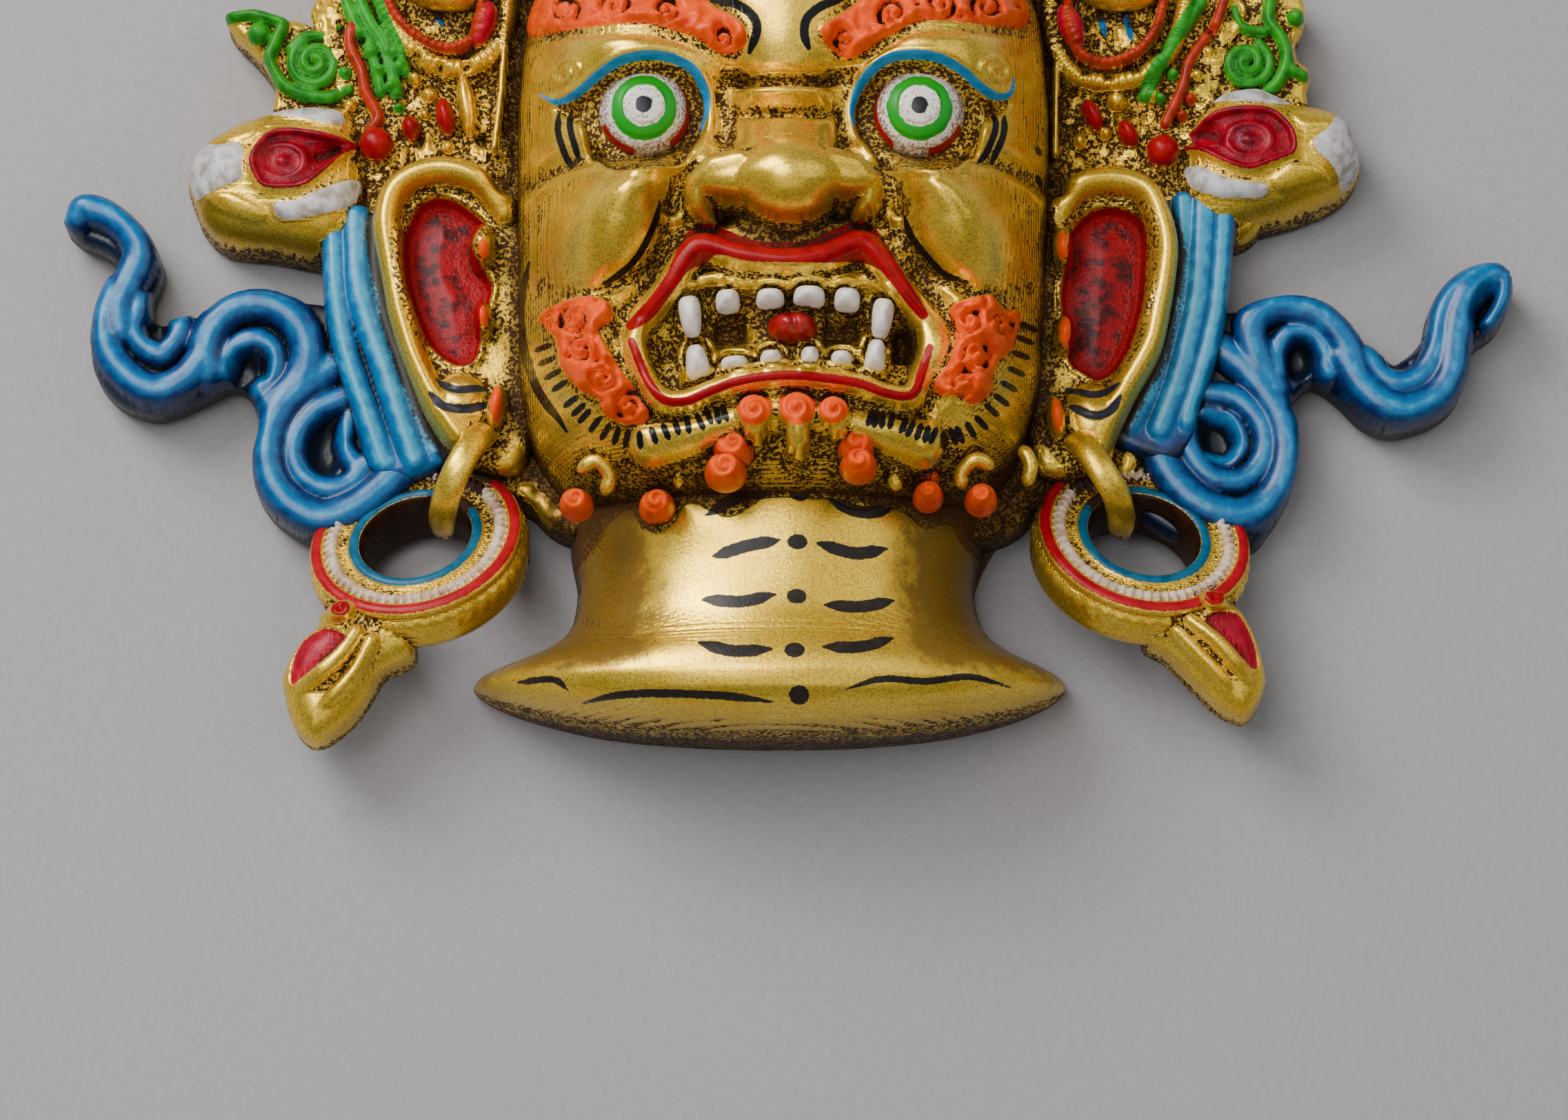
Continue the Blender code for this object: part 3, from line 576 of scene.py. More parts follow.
def face_carving(x, y, z):
    """Ridges, grooves, sockets, lips and curls cut into the masses, placed where they show."""
    u, v = seen(x, y, z, FACE_LEVEL)
    for outline in (SOCKET_LEFT, SOCKET_RIGHT):
        d = area_distance(u, v, outline)
        sink = np.clip(0.5 - d / 1.6, 0, 1)
        z = z - 3.4 * sink * sink * (3 - 2 * sink)
    for side in (-1, 1):
        for points, width, deep in PAIRED_GROOVES:
            z = cut_line(u, v, z, [(side * px, py) for px, py in points], width, deep)
    z = cut_line(u, v, z, [(-7.6, 56.6), (-4, 55.8), (0, 55.6), (4, 55.9), (7.6, 57)], 1.1, 3.4)
    z = cut_line(u, v, z, [(-6.2, 53.2), (0, 53.5), (6.2, 53.2)], 1.1, -2.6)
    z = cut_line(u, v, z, [(-6.2, 51.2), (0, 51.2), (6.2, 51.2)], 0.8, 3.2)
    for line in ([(-26.7, 53.1), (-27.1, 50), (-26.2, 46.4), (-23.3, 43.1), (-18.8, 42.8),
                  (-13.9, 44.4), (-10.9, 48.5)],
                 [(26, 53.1), (26.6, 50), (25.4, 46.2), (22.4, 43), (17.8, 42.6), (12.8, 44.4),
                  (9.6, 48.5)]):
        z = cut_line(u, v, z, line, 0.5, -1.3)
    z = cut_line(u, v, z, LID_LEFT, 0.75, -1.3)
    z = cut_line(u, v, z, LID_RIGHT, 0.75, -1.3)
    z = cut_line(u, v, z, spiral((-29.6, 57.0), 2.2, 1.5, 330, 1), 0.36, -0.9)
    z = cut_line(u, v, z, spiral((28.3, 57.2), 2.2, 1.5, 210, -1), 0.36, -0.9)
    for dot, deep in (((-8.6, 37.8), 4.6), ((7.3, 38.6), 4.6)):
        z = z - deep * np.exp(-(((u - dot[0]) / 1.9) ** 2 + ((v - dot[1]) / 1.5) ** 2))
    for outline in (BROW_LEFT, BROW_RIGHT):
        z = lift_patch(u, v, z, outline, 2.4, 1.2)
    z = cut_line(u, v, z, [(-34, 63.2), (-25, 62.4), (-17, 61.9), (-12, 60.4), (-9, 58.2)], 0.8, 0.9)
    z = cut_line(u, v, z, [(31.6, 63.6), (25, 62.8), (17, 62.4), (12.6, 60), (9.6, 57.8)], 0.8, 0.9)
    return z


UPPER_TEETH = [
    ((-12.5, 23.9), (1.65, 2.75), 8, 46.8, 0.3), ((-7.6, 25.9), (1.6, 1.5), 4, 46.6, 0.0),
    ((-2.0, 26.2), (1.85, 1.25), 0, 47.0, 0.0), ((3.1, 26.5), (2.1, 1.35), -2, 47.0, 0.0),
    ((8.1, 26.1), (1.7, 1.5), -4, 46.6, 0.0), ((12.7, 23.6), (1.6, 2.7), -8, 46.8, 0.3),
]
LOWER_TEETH = [
    ((-11.6, 17.6), (1.85, 2.4), 10, 46.4, 0.35), ((-6.7, 17.2), (1.85, 1.1), 4, 46.2, 0.0),
    ((-1.9, 17.9), (1.55, 1.2), 0, 46.4, 0.1), ((3.2, 18.1), (1.3, 1.5), 0, 46.4, 0.1),
    ((7.3, 17.8), (1.5, 1.25), 0, 46.2, 0.1), ((11.8, 18.4), (1.5, 2.3), -8, 46.4, 0.25),
]


def face_lips(x, y, z):
    """Lips as ropes round the sunk mouth, with gum ridges and the dark gaps behind the teeth."""
    d = area_distance(*seen(x, y, np.full(len(x), 43.0), FACE_LEVEL), MOUTH)
    sink = np.clip(0.5 - d / 1.0, 0, 1)
    z = z * (1 - sink) + np.minimum(z, 39.4) * sink

    def lip(points, half_width, drop, soft):
        path = [(px, py - VIEW_SLOPE * (pz - FACE_LEVEL), pz) for px, py, pz in points]
        return raise_rope(x, y, z, path, half_width, drop, soft)

    z = lip([(-20.2, 21.2, 42.0), (-18.4, 24.2, 44.2), (-15.6, 27.6, 46.2), (-13.0, 31.6, 47.4),
             (-10.8, 33.2, 47.8), (-6, 31.9, 48.2), (0, 31.1, 48.4), (5, 31.8, 48.2),
             (9.6, 33.6, 47.8), (12.2, 31.8, 47.4), (14.6, 28.2, 46.2), (17.2, 24.8, 44.2),
             (19.2, 21.8, 42.0)], 1.9, 3.4, 0.7)
    z = lip([(-20.0, 20.4, 42.0), (-18.8, 16.2, 43.6), (-16.6, 12.9, 44.8),
             (-13.1, 12.3, 45.4), (-7, 14.5, 46.2), (0.8, 15.5, 46.6), (8, 14.8, 46.2),
             (12.9, 13.3, 45.4), (16.2, 13.0, 44.8), (17.8, 15.6, 43.6), (19.0, 20.2, 42.0)],
            1.5, 3.2, 0.7)
    z = lip([(-14.6, 25.8, 42.4), (-10.6, 28.6, 43.6), (-5, 28.2, 44.4), (0, 28.0, 44.6),
             (5, 28.4, 44.4), (10.6, 28.4, 43.6), (14.4, 25.8, 42.4)], 1.0, 2.0, 0.3)
    z = lip([(-13, 15.0, 42.2), (-6, 15.7, 43.4), (1, 16.6, 43.8), (8, 16.0, 43.4),
             (12.6, 15.2, 42.2)], 1.0, 2.0, 0.3)
    u, v = seen(x, y, z, FACE_LEVEL)
    for centre, half, *_ in UPPER_TEETH + LOWER_TEETH:
        gum = (np.hypot((u - centre[0]) / half[0], (v - centre[1]) / half[1]) - 1) * min(half)
        z = z + 1.5 * np.exp(-((gum - 0.35) / 0.42) ** 2)
    for line, width, deep in (([(-9.6, 21.6), (-7.2, 21.4), (-5, 21.8)], 1.8, 3.0),
                              ([(4.8, 21.4), (7, 21.2), (9.6, 21.8)], 1.8, 3.0),
                              ([(14.9, 22), (15.4, 19.4), (15, 17)], 1.5, 4.0),
                              ([(-15.6, 20.4), (-15.8, 18.6), (-15.4, 17)], 1.6, 1.6)):
        z = cut_line(u, v, z, line, width, deep)
    return z


def face_curls(x, y, z):
    """Moustache and brow enamel stands up in lumps cut by spirals and dimples; tufts hang on the chin."""
    u, v = seen(x, y, z, FACE_LEVEL)
    for outline in (WHISKER_LEFT, WHISKER_RIGHT):
        z = lift_patch(u, v, z, outline, 2.8, 1.5)
    in_curls = np.full(len(x), FAR)
    for outline in (BROW_LEFT, BROW_RIGHT, WHISKER_LEFT, WHISKER_RIGHT):
        in_curls = np.minimum(in_curls, area_distance(u, v, outline))
    lumps = 1.3 * (grain(u, v, 1.7, 21) - 0.5) + 0.8 * (grain(u, v, 0.9, 22) - 0.5)
    lumps = lumps - 1.5 * np.clip((grain(u, v, 1.25, 23) - 0.74) / 0.2, 0, 1)
    z = z + lumps * np.clip(-in_curls / 0.8, 0, 1)
    for centre, radius, turns, start, hand in CURLS:
        z = cut_line(u, v, z, spiral(centre, radius, turns, start, hand), 0.45, 2.0)
    for dx, dy in DIMPLES:
        z = z - 1.1 * np.exp(-(((u - dx) / 0.55) ** 2 + ((v - dy) / 0.45) ** 2))
    for (cx, cy), tail, radius in BEARD_CURLS:
        top = 47.2
        shift = VIEW_SLOPE * (top - FACE_LEVEL)
        path = [(cx, cy - shift, top - 0.4), ((cx + tail[0]) / 2, (cy + tail[1]) / 2 - shift, 46.2),
                (tail[0] + 0.2, tail[1] - 0.5 * shift, 44.6)]
        z = raise_rope(x, y, z, path, radius * 0.62, 2.6, 0.3, 0.5)
        z = raise_ball(x, y, z, (cx, cy - shift), (radius, radius * 0.95), 0, top, 2.8, 0.4)
        z = cut_line(x, y, z, spiral((cx, cy - shift), radius * 0.8, 1.3, 300, 1), 0.4, 0.9)
    return z


def face_marks(x, y, z):
    """Signed distances of the enamel on the face, in millimetres, measured where it shows."""
    u, v = seen(x, y, z, FACE_LEVEL)
    orange = np.full(len(x), FAR)
    for outline, lift in ((BROW_LEFT, -0.2), (BROW_RIGHT, -0.2), (WHISKER_LEFT, 0), (WHISKER_RIGHT, 0)):
        orange = np.minimum(orange, area_distance(u, v - lift, outline))
    for centre, _, radius in BEARD_CURLS:
        orange = np.minimum(orange, np.hypot(u - centre[0], (v - centre[1]) * 0.9) - radius)
    red = np.minimum(area_distance(u, v, UPPER_LIP) - 0.6, stroke_distance(u, v, LOWER_LIP, 0.62, 0.8))
    blue = np.minimum(stroke_distance(u, v, LID_LEFT, 0.6, 0.25),
                      stroke_distance(u, v, LID_RIGHT, 0.6, 0.25))
    black = np.minimum(hatch(u, v, HATCH_LEFT, 1), hatch(u, v, HATCH_RIGHT, -1)) - 0.02
    for line in CHEEK_STROKES:
        black = np.minimum(black, stroke_distance(u, v, line, 0.45))
    for line in FRINGE_STROKES:
        black = np.minimum(black, stroke_distance(u, v, line, 0.62, 0.5))
    black = np.minimum(black, stroke_distance(u, v, JAW_LINE, 0.6))
    rough_patch = np.minimum(area_distance(u, v, SOCKET_LEFT), area_distance(u, v, SOCKET_RIGHT))
    return {"orange": orange, "red": red, "blue": blue, "black": black, "socket": rough_patch}


def new_group(name, inputs, outputs):
    """Shader node group with named sockets; returns its tree, its inputs and its output node."""
    tree = bpy.data.node_groups.new(name, "ShaderNodeTree")
    for label, value in inputs.items():
        kind = "NodeSocketColor" if isinstance(value, tuple) else "NodeSocketFloat"
        tree.interface.new_socket(label, in_out="INPUT", socket_type=kind).default_value = value
    for label, kind in outputs.items():
        tree.interface.new_socket(label, in_out="OUTPUT", socket_type="NodeSocket" + kind)
    return tree, add_node(tree, "NodeGroupInput").outputs, add_node(tree, "NodeGroupOutput")


def use_group(tree, name, links=None):
    """Named node group placed in a material; returns its outputs."""
    return add_node(tree, "ShaderNodeGroup", links, node_tree=bpy.data.node_groups[name]).outputs


def make_casting_noise():
    """Group of noises shared by gold and enamel, from the finest grain to broad clouds."""
    kinds = {"Fine": (3000.0, 3.0, 0.6), "Speck": (2000.0, 3.0, 0.6), "Middle": (520.0, 4.0, 0.55),
             "Broad": (110.0, 3.0, 0.55)}
    tree, _, end = new_group("casting_noise", {}, {label: "Float" for label in kinds})
    for label, (scale, detail, rough) in kinds.items():
        tree.links.new(noise(tree, scale, detail, rough), end.inputs[label])


def make_antique_gold():
    """Group: gold paint rubbed back over dark brown, brown and speckled with gold in the hollows, and
    browned smoothly over broad low areas by a wash that is partly painted shade.
    """
    tree, given, end = new_group(
        "antique_gold", {"Hollow": 0.0, "Wash_and_shade": 0.0, "Patina": 1.0, "Grain": 1.0,
                         "Fine": 0.5, "Speck": 0.5, "Middle": 0.5, "Broad": 0.5},
        {"Color": "Color", "Metallic": "Float", "Roughness": "Float", "Height": "Float"})
    deep = calc(tree, "MULTIPLY", calc(tree, "MULTIPLY", given["Hollow"], given["Patina"]), 0.62)
    deep = calc(tree, "MAXIMUM", calc(tree, "MINIMUM", deep, 0.40), -0.5)
    inner = calc(tree, "MAXIMUM", deep, 0.0)
    wander = sway(tree, given["Middle"], 0.7)
    spots = sway(tree, given["Speck"], calc(tree, "MULTIPLY_ADD", inner, 4.4, 0.6))
    dirt = calc(tree, "ADD", calc(tree, "ADD", deep, wander), spots)
    dirt = steps(tree, dirt, 0.25, 0.42)
    # Smooth brown over broad low areas and the sides of the head: partly the casting's brown wash, partly
    # painted shade.
    wash_and_shade = calc(tree, "ADD", given["Wash_and_shade"], calc(tree, "MULTIPLY_ADD", given["Middle"], 3.0, -1.5))
    wash_and_shade = steps(tree, calc(tree, "ADD", wash_and_shade, calc(tree, "MULTIPLY_ADD", given["Fine"], 3.0, -1.5)),
                 1.0, 6.4)
    bright = mix_colour(tree, steps(tree, given["Broad"], 0.35, 0.65), srgb(250, 212, 74),
                        srgb(238, 196, 58))
    bright = mix_colour(tree, steps(tree, given["Fine"], 0.3, 0.6), srgb(194, 150, 50), bright)
    bright = mix_colour(tree, wash_and_shade, bright, srgb(112, 84, 36))
    tree.links.new(mix_colour(tree, dirt, bright, BROWN), end.inputs["Color"])
    tree.links.new(calc(tree, "SUBTRACT", 0.82, calc(tree, "MULTIPLY", dirt, 0.5)),
                   end.inputs["Metallic"])
    tree.links.new(mix_value(tree, dirt, 0.29, 0.55), end.inputs["Roughness"])
    knobs = calc(tree, "MULTIPLY", given["Speck"], calc(tree, "MULTIPLY_ADD", inner, 12.0, 0.25))
    grit = calc(tree, "MULTIPLY", calc(tree, "MULTIPLY", given["Fine"], 0.35), given["Grain"])
    tree.links.new(calc(tree, "ADD", knobs, grit), end.inputs["Height"])


def make_enamel_coat():
    """Group: one hand-painted coat over what is there, its edge wobbling, worn through in the hollows."""
    tree, given, end = new_group(
        "enamel_coat", {"Color": (0.5, 0.5, 0.5, 1.0), "Metallic": 0.0, "Roughness": 0.4,
                        "Distance": 1.0, "Paint": (0.5, 0.5, 0.5, 1.0), "Shade": (0.5, 0.5, 0.5, 1.0),
                        "Spread": 0.3, "Hollow": 0.0, "Wear": 0.8, "Fine": 0.5, "Speck": 0.5,
                        "Middle": 0.5},
        {"Color": "Color", "Metallic": "Float", "Roughness": "Float"})
    wobble = sway(tree, given["Speck"], given["Spread"])
    cover = steps(tree, calc(tree, "ADD", given["Distance"], wobble), -0.06, 0.07, 1.0, 0.0)
    coat = mix_colour(tree, steps(tree, given["Middle"], 0.35, 0.7), given["Paint"], given["Shade"])
    worn = calc(tree, "ADD", calc(tree, "MULTIPLY", given["Hollow"], given["Wear"]),
                sway(tree, given["Fine"], 2.6))
    coat = mix_colour(tree, steps(tree, worn, 0.55, 1.1), coat, srgb(46, 24, 12))
    tree.links.new(mix_colour(tree, cover, given["Color"], coat), end.inputs["Color"])
    tree.links.new(calc(tree, "MULTIPLY", given["Metallic"], calc(tree, "SUBTRACT", 1.0, cover)),
                   end.inputs["Metallic"])
    tree.links.new(mix_value(tree, cover, given["Roughness"], 0.27), end.inputs["Roughness"])


make_casting_noise()
make_antique_gold()
make_enamel_coat()


def gold_under(name, patina=1.0, grain_size=1.0):
    """Material begun with antique gold; returns it with its tree, shader, noises and gold outputs."""
    material, tree, shader = new_material(name, 0.36)
    shader.inputs["Specular IOR Level"].default_value = 0.16
    shader.inputs["Coat Weight"].default_value = 0.03
    shader.inputs["Coat Roughness"].default_value = 0.3
    noises = use_group(tree, "casting_noise")
    gold = use_group(tree, "antique_gold", {
        "Hollow": attribute(tree, "hollow"), "Wash_and_shade": attribute(tree, "wash_and_shade"), "Patina": patina,
        "Grain": grain_size, **{key: noises[key] for key in ("Fine", "Speck", "Middle", "Broad")}})
    bump(tree, shader, gold["Height"], 0.00016, 0.7)
    return material, tree, shader, noises, {key: gold[key] for key in ("Color", "Metallic", "Roughness")}


def darken(tree, skin, amount, colour):
    """Brown laid over the skin by an amount from 0 to 1: granular dirt in the eye sockets and round the ear
    bowls, painted shade on the neck.
    """
    rest = calc(tree, "SUBTRACT", 1.0, amount)
    return {"Color": mix_colour(tree, amount, skin["Color"], colour),
            "Metallic": calc(tree, "MULTIPLY", skin["Metallic"], rest), "Roughness": skin["Roughness"]}


def paint_coats(tree, shader, noises, skin, layers, wear=0.8):
    """Enamel coats over the skin, each a mark, two tones and an edge wobble, joined to the shader."""
    for mark, paint, shade, spread in layers:
        coat = use_group(tree, "enamel_coat", {
            **skin, "Distance": attribute(tree, mark), "Paint": paint, "Shade": shade,
            "Spread": spread, "Hollow": attribute(tree, "hollow"), "Wear": wear,
            **{key: noises[key] for key in ("Fine", "Speck", "Middle")}})
        skin = {key: coat[key] for key in skin}
    for label, socket in (("Color", "Base Color"), ("Metallic", "Metallic"), ("Roughness", "Roughness")):
        tree.links.new(skin[label], shader.inputs[socket])


def face_material():
    """Satin gold skin with orange, red, blue and black enamel, and dark granular eye sockets."""
    material, tree, shader, noises, skin = gold_under("face_paint", 0.9, 0.5)
    grit = calc(tree, "ADD", noises["Speck"], calc(tree, "MULTIPLY", noises["Fine"], 0.5))
    in_socket = steps(tree, attribute(tree, "socket"), -0.5, 0.6, 1.0, 0.0)
    grit = calc(tree, "MULTIPLY", in_socket, steps(tree, grit, 0.72, 0.80))
    skin = darken(tree, skin, grit, BROWN)
    paint_coats(tree, shader, noises, skin, [
        ("orange", ORANGE, DEEP_ORANGE, 0.5), ("red", RED, DEEP_RED, 0.3),
        ("blue", srgb(26, 134, 190), srgb(18, 112, 168), 0.3),
        ("black", srgb(12, 12, 14), srgb(18, 18, 20), 0.2)])
    return material


def section_sheet(sections, square, rows, columns):
    """Sheet through rounded-square sections, |x / half|^n + |z / front|^n = 1 at each height y."""
    path = curve([(s[0], s[3], s[1], s[2]) for s in sections], 0.2)
    step = np.linalg.norm(np.diff(path[:, :3], axis=0), axis=1)
    walk = np.concatenate([[0], np.cumsum(step)])
    even = np.linspace(0, walk[-1], rows)
    y_row, front, left, right = (np.interp(even, walk, path[:, k]) for k in range(4))
    turn = np.linspace(0, pi, 400)
    c, s = -np.cos(turn), np.sin(turn)
    reach = (np.abs(c) ** square + np.abs(s) ** square) ** (-1 / square)
    across, up = c * reach, s * reach
    walk = np.concatenate([[0], np.cumsum(np.hypot(np.diff(across) * 37, np.diff(up) * 20))])
    even = np.linspace(0, walk[-1], columns)
    across, up = np.interp(even, walk, across), np.interp(even, walk, up)
    x = ((left + right) / 2)[:, None] + ((right - left) / 2)[:, None] * across[None, :]
    y = np.repeat(y_row[:, None], columns, axis=1)
    return x.ravel(), y.ravel(), (front[:, None] * up[None, :]).ravel()


def make_face():
    """Head sheet with the relief added to its height, less so down its sides."""
    rows, columns = 300, 312
    x, y, z = section_sheet(HEAD_SECTIONS, HEAD_SQUARE, rows, columns)
    form = face_curls(x, y, face_lips(x, y, face_carving(x, y, face_masses(x, y, z))))
    z = z + (form - z) * np.clip(z / FULL_RELIEF, 0, 1)
    return add_piece("face", np.stack([x, y, z], axis=1), grid_faces(rows, columns),
                     face_material(), face_marks(x, y, z))


face = make_face()
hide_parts("mask")

# Eyes
# Two bulging painted eyeballs cast in the sockets: white, a green ring, white again and a black pupil.
EYES = {"left_eye": ((-18.8, 52.7), 1), "right_eye": ((17.8, 52.6), -1)}
EYE_RADIUS = 6.1
EYE_TOP = 43.6


def eye_material():
    """Rings of enamel by distance from the pupil, red in the corners, dirty round the rim."""
    material, tree, shader = new_material("eye_enamel", 0.3)
    shader.inputs["Specular IOR Level"].default_value = 0.25
    wobble = sway(tree, noise(tree, 900.0, 2.0), 0.5)
    ring = calc(tree, "ADD", attribute(tree, "ring"), wobble)
    fine = noise(tree, 2600.0, 4.0, 0.65)
    flecks = calc(tree, "ADD", fine, steps(tree, ring, 4.2, 5.6, 0.0, 0.12))
    white = mix_colour(tree, steps(tree, flecks, 0.52, 0.66), srgb(206, 198, 190), srgb(120, 92, 74))
    colour = mix_colour(tree, steps(tree, attribute(tree, "corner"), -0.1, 0.1, 1.0, 0.0), white,
                        srgb(136, 6, 16))
    green = calc(tree, "MULTIPLY", steps(tree, ring, 2.75, 2.87), steps(tree, ring, 4.3, 4.42, 1.0, 0.0))
    colour = mix_colour(tree, green, colour, srgb(8, 128, 24))
    colour = mix_colour(tree, steps(tree, ring, 1.08, 1.2, 1.0, 0.0), colour, srgb(12, 12, 14))
    grime = steps(tree, calc(tree, "ADD", attribute(tree, "ring"),
                             calc(tree, "MULTIPLY", fine, 1.6)), 6.6, 7.2)
    colour = mix_colour(tree, grime, colour, srgb(60, 40, 24))
    tree.links.new(colour, shader.inputs["Base Color"])
    bump(tree, shader, fine, 0.00008, 0.5)
    return material


def make_eyes():
    """Caps of a ball by ring and turn, with low steps where the painted rings were modelled."""
    material = eye_material()
    rings, turns = 60, 72
    for name, (centre, hand) in EYES.items():
        r = np.linspace(0.0, EYE_RADIUS, rings)[:, None] * np.ones((1, turns))
        a = np.linspace(0, 2 * pi, turns, endpoint=False)[None, :] * np.ones((rings, 1))
        z = EYE_TOP - 4.8 * (1 - np.sqrt(1 - (r / EYE_RADIUS) ** 2))
        z = z - 0.2 * (np.clip((r - 2.7) / 0.25, 0, 1) + np.clip((r - 4.3) / 0.25, 0, 1)
                       + np.clip((r - 5.4) / 0.25, 0, 1))
        x = centre[0] + r * np.cos(a)
        y = centre[1] + r * np.sin(a) - VIEW_SLOPE * (EYE_TOP - 0.6 - FACE_LEVEL)
        corner = np.minimum(np.abs((a - pi * (1 - hand) / 2 + pi) % (2 * pi) - pi) - 0.95,
                            np.abs((a - pi * (3 - hand * 0.45) / 2 + pi) % (2 * pi) - pi) - 0.5)
        corner = np.maximum(corner * 3, 5.6 - r)
        add_piece(name, np.stack([x, y, z], axis=-1).reshape(-1, 3),
                  grid_faces(rings, turns, around=True), material,
                  {"ring": np.hypot(r * np.cos(a), r * np.sin(a) + 0.45).ravel(),
                   "corner": corner.ravel()})


make_eyes()

# Neck
# Flaring neck under the chin with a thick rolled rim, gold, crossed by rows of black brush strokes, and the
# small orange beard curls that hang over it. All cast in one with the face.
NECK_SECTIONS = [
    (12.0, -29.0, 27.0, 26.0), (6.0, -29.6, 27.2, 27.6), (0.0, -29.5, 27.0, 28.5),
    (-6.0, -28.6, 26.0, 28.6), (-12.0, -30.0, 27.6, 29.0), (-15.6, -33.6, 30.9, 29.8),
    (-18.6, -39.6, 35.8, 30.8), (-20.6, -42.4, 38.2, 31.2), (-22.2, -42.2, 38.0, 31.2),
    (-24.4, -38.6, 34.8, 30.2), (-26.6, -32.0, 29.0, 26.6), (-28.4, -23.4, 20.6, 20.0),
    (-29.4, -12.0, 10.4, 11.0), (-29.7, -2.0, 1.4, 2.0),
]
NECK_STROKES = [
    [(-10.6, -0.2), (-6, 2.2), (-1.6, 2.8)],
    [(5.7, 1.9), (10, 0.4), (14.5, 1.3)],
    [(-9.8, -6), (-5, -4.6), (-0.7, -3.9)],
    [(4, -4.1), (9.2, -5.3), (13.6, -4.2)],
    [(-11.2, -11.7), (-6, -12.3), (-1.3, -11.3)],
    [(5.1, -12.7), (10, -12.7), (14.5, -11.3)],
    [(-11.5, -18.1), (-7, -19.4), (-1.8, -19.2)],
    [(4.9, -18.8), (10, -18.6), (14.3, -17)],
    [(-36, -22), (-31, -22), (-28.9, -23.5)],
    [(-27.2, -25.1), (-21, -24.4), (-8.3, -25.1), (-1.6, -25.8)],
    [(7.8, -24.4), (12.7, -22.9), (18.6, -22.8), (24.4, -21.8), (30.3, -22.8)],
]
NECK_DOTS = [(1.9, 2.6), (1.6, -4.1), (1.5, -11.6), (1.2, -19.3), (1.8, -25)]
JAW_CURLS = [(-27.9, 2.5, 2.3), (-17.1, 2.2, 2.5), (18.6, 6.0, 2.2), (19.0, 3.6, 2.1),
             (26.1, 3.1, 2.2), (-6.9, 6.6, 3.0), (-7.9, 3.6, 2.8), (9.3, 6.8, 2.7), (9.6, 4.4, 2.5)]
JAW_HOOKS = [
    [(-27.6, 5.2, 30), (-25.2, 6.4, 31), (-23.4, 4.6, 30), (-24.2, 2.2, 29)],
    [(-19, 5, 31), (-16.6, 6.8, 32), (-14.2, 5.4, 31.4), (-14.4, 3, 30)],
    [(27.6, 5.6, 30), (25.4, 6.6, 31), (23.4, 5, 30), (23.6, 3, 29)],
    [(16.2, 6.4, 32), (14.4, 4.6, 31), (15, 2.6, 30)],
    [(31.6, 9.6, 26), (32.8, 7, 26), (32.2, 4.4, 25)],
]


def neck_material():
    """Satin gold with painted shade over its sides and its top under the chin, a brown that is partly the
    casting's wash, with black strokes.
    """
    material, tree, shader, noises, skin = gold_under("neck_paint", 0.8, 0.6)
    # Painted shade: brown laid over the neck's sides and under the chin, by its shade mark with some noise.
    side = calc(tree, "ADD", attribute(tree, "shade"),
                sway(tree, noises["Middle"], 0.9))
    side = calc(tree, "ADD", side, sway(tree, noises["Fine"], 1.3))
    skin = darken(tree, skin, calc(tree, "MULTIPLY", steps(tree, side, 0.3, 1.0), 0.88),
                  srgb(74, 46, 20))
    paint_coats(tree, shader, noises, skin, [("black", srgb(28, 26, 26), srgb(44, 36, 28), 0.35)])
    return material


def make_neck():
    """Neck sheet, its rim leaning forward, with a soft crease and casting pits along it."""
    rows, columns = 180, 216
    x, y, z = section_sheet(NECK_SECTIONS, 2.2, rows, columns)
    lift = cut_line(x, y, z, [(-36, -23), (-28, -25.2), (-15, -26.4), (0, -26.8), (10, -26.2),
                              (25, -25), (33, -23)], 0.5, 0.35) - z
    for px, py in ((-9, -27.6), (4, -27.9), (12, -27.2), (-17, -27.4), (21, -26.4), (17, -27.7)):
        lift -= 0.7 * np.exp(-(((x - px) / 0.9) ** 2 + ((y - py) / 0.35) ** 2))
    z = z + lift * np.clip(z / FULL_RELIEF, 0, 1)
    black = np.full(len(x), FAR)
    for k, line in enumerate(NECK_STROKES):
        black = np.minimum(black, stroke_distance(x, y, line, 0.86 if k < 8 else 0.45, 0.2))
    for dot in NECK_DOTS:
        black = np.minimum(black, np.hypot((x - dot[0]) / 1.3, y - dot[1]) - 1.05)
    # Painted shade mark: rises towards the neck's sides and towards its top under the chin, and fades on
    # the rim below.
    shade = np.clip((np.abs(x + 1) - 11) / 8, 0, 1.3) + np.clip((y - 1) / 5, 0, 1)
    shade = np.where(y < -18, shade * np.clip((y + 24) / 6, 0.15, 1), shade)
    y = y + 2.9 * np.clip(1 - z / 26, 0, 1) * np.clip((-y - 10) / 10, 0, 1)
    add_piece("neck", np.stack([x, y, z], axis=1), grid_faces(rows, columns), neck_material(),
              {"black": black, "shade": shade})


def dome(centre, half, turn, top, drop, square=2.0, taper=0.0, rings=10, turns=26):
    """Oval dome by ring and turn: z = top - drop (1 - sqrt(1 - r^2)); taper narrows it to its +y end."""
    r = np.sin(np.linspace(0, pi / 2, rings))[:, None] * np.ones((1, turns))
    a = np.linspace(0, 2 * pi, turns, endpoint=False)[None, :] * np.ones((rings, 1))
    reach = (np.abs(np.cos(a)) ** square + np.abs(np.sin(a)) ** square) ** (-1 / square)
    u, v = r * reach * np.cos(a), r * reach * np.sin(a)
    u = u * (1 - taper * (v + 1) / 2)
    c, s = cos(radians(turn)), sin(radians(turn))
    x = centre[0] + half[0] * u * c - half[1] * v * s
    y = centre[1] + half[0] * u * s + half[1] * v * c
    z = top - drop * (1 - np.sqrt(np.clip(1 - r * r, 0, 1)))
    return np.stack([x, y, z], axis=-1).reshape(-1, 3), grid_faces(rings, turns, around=True)


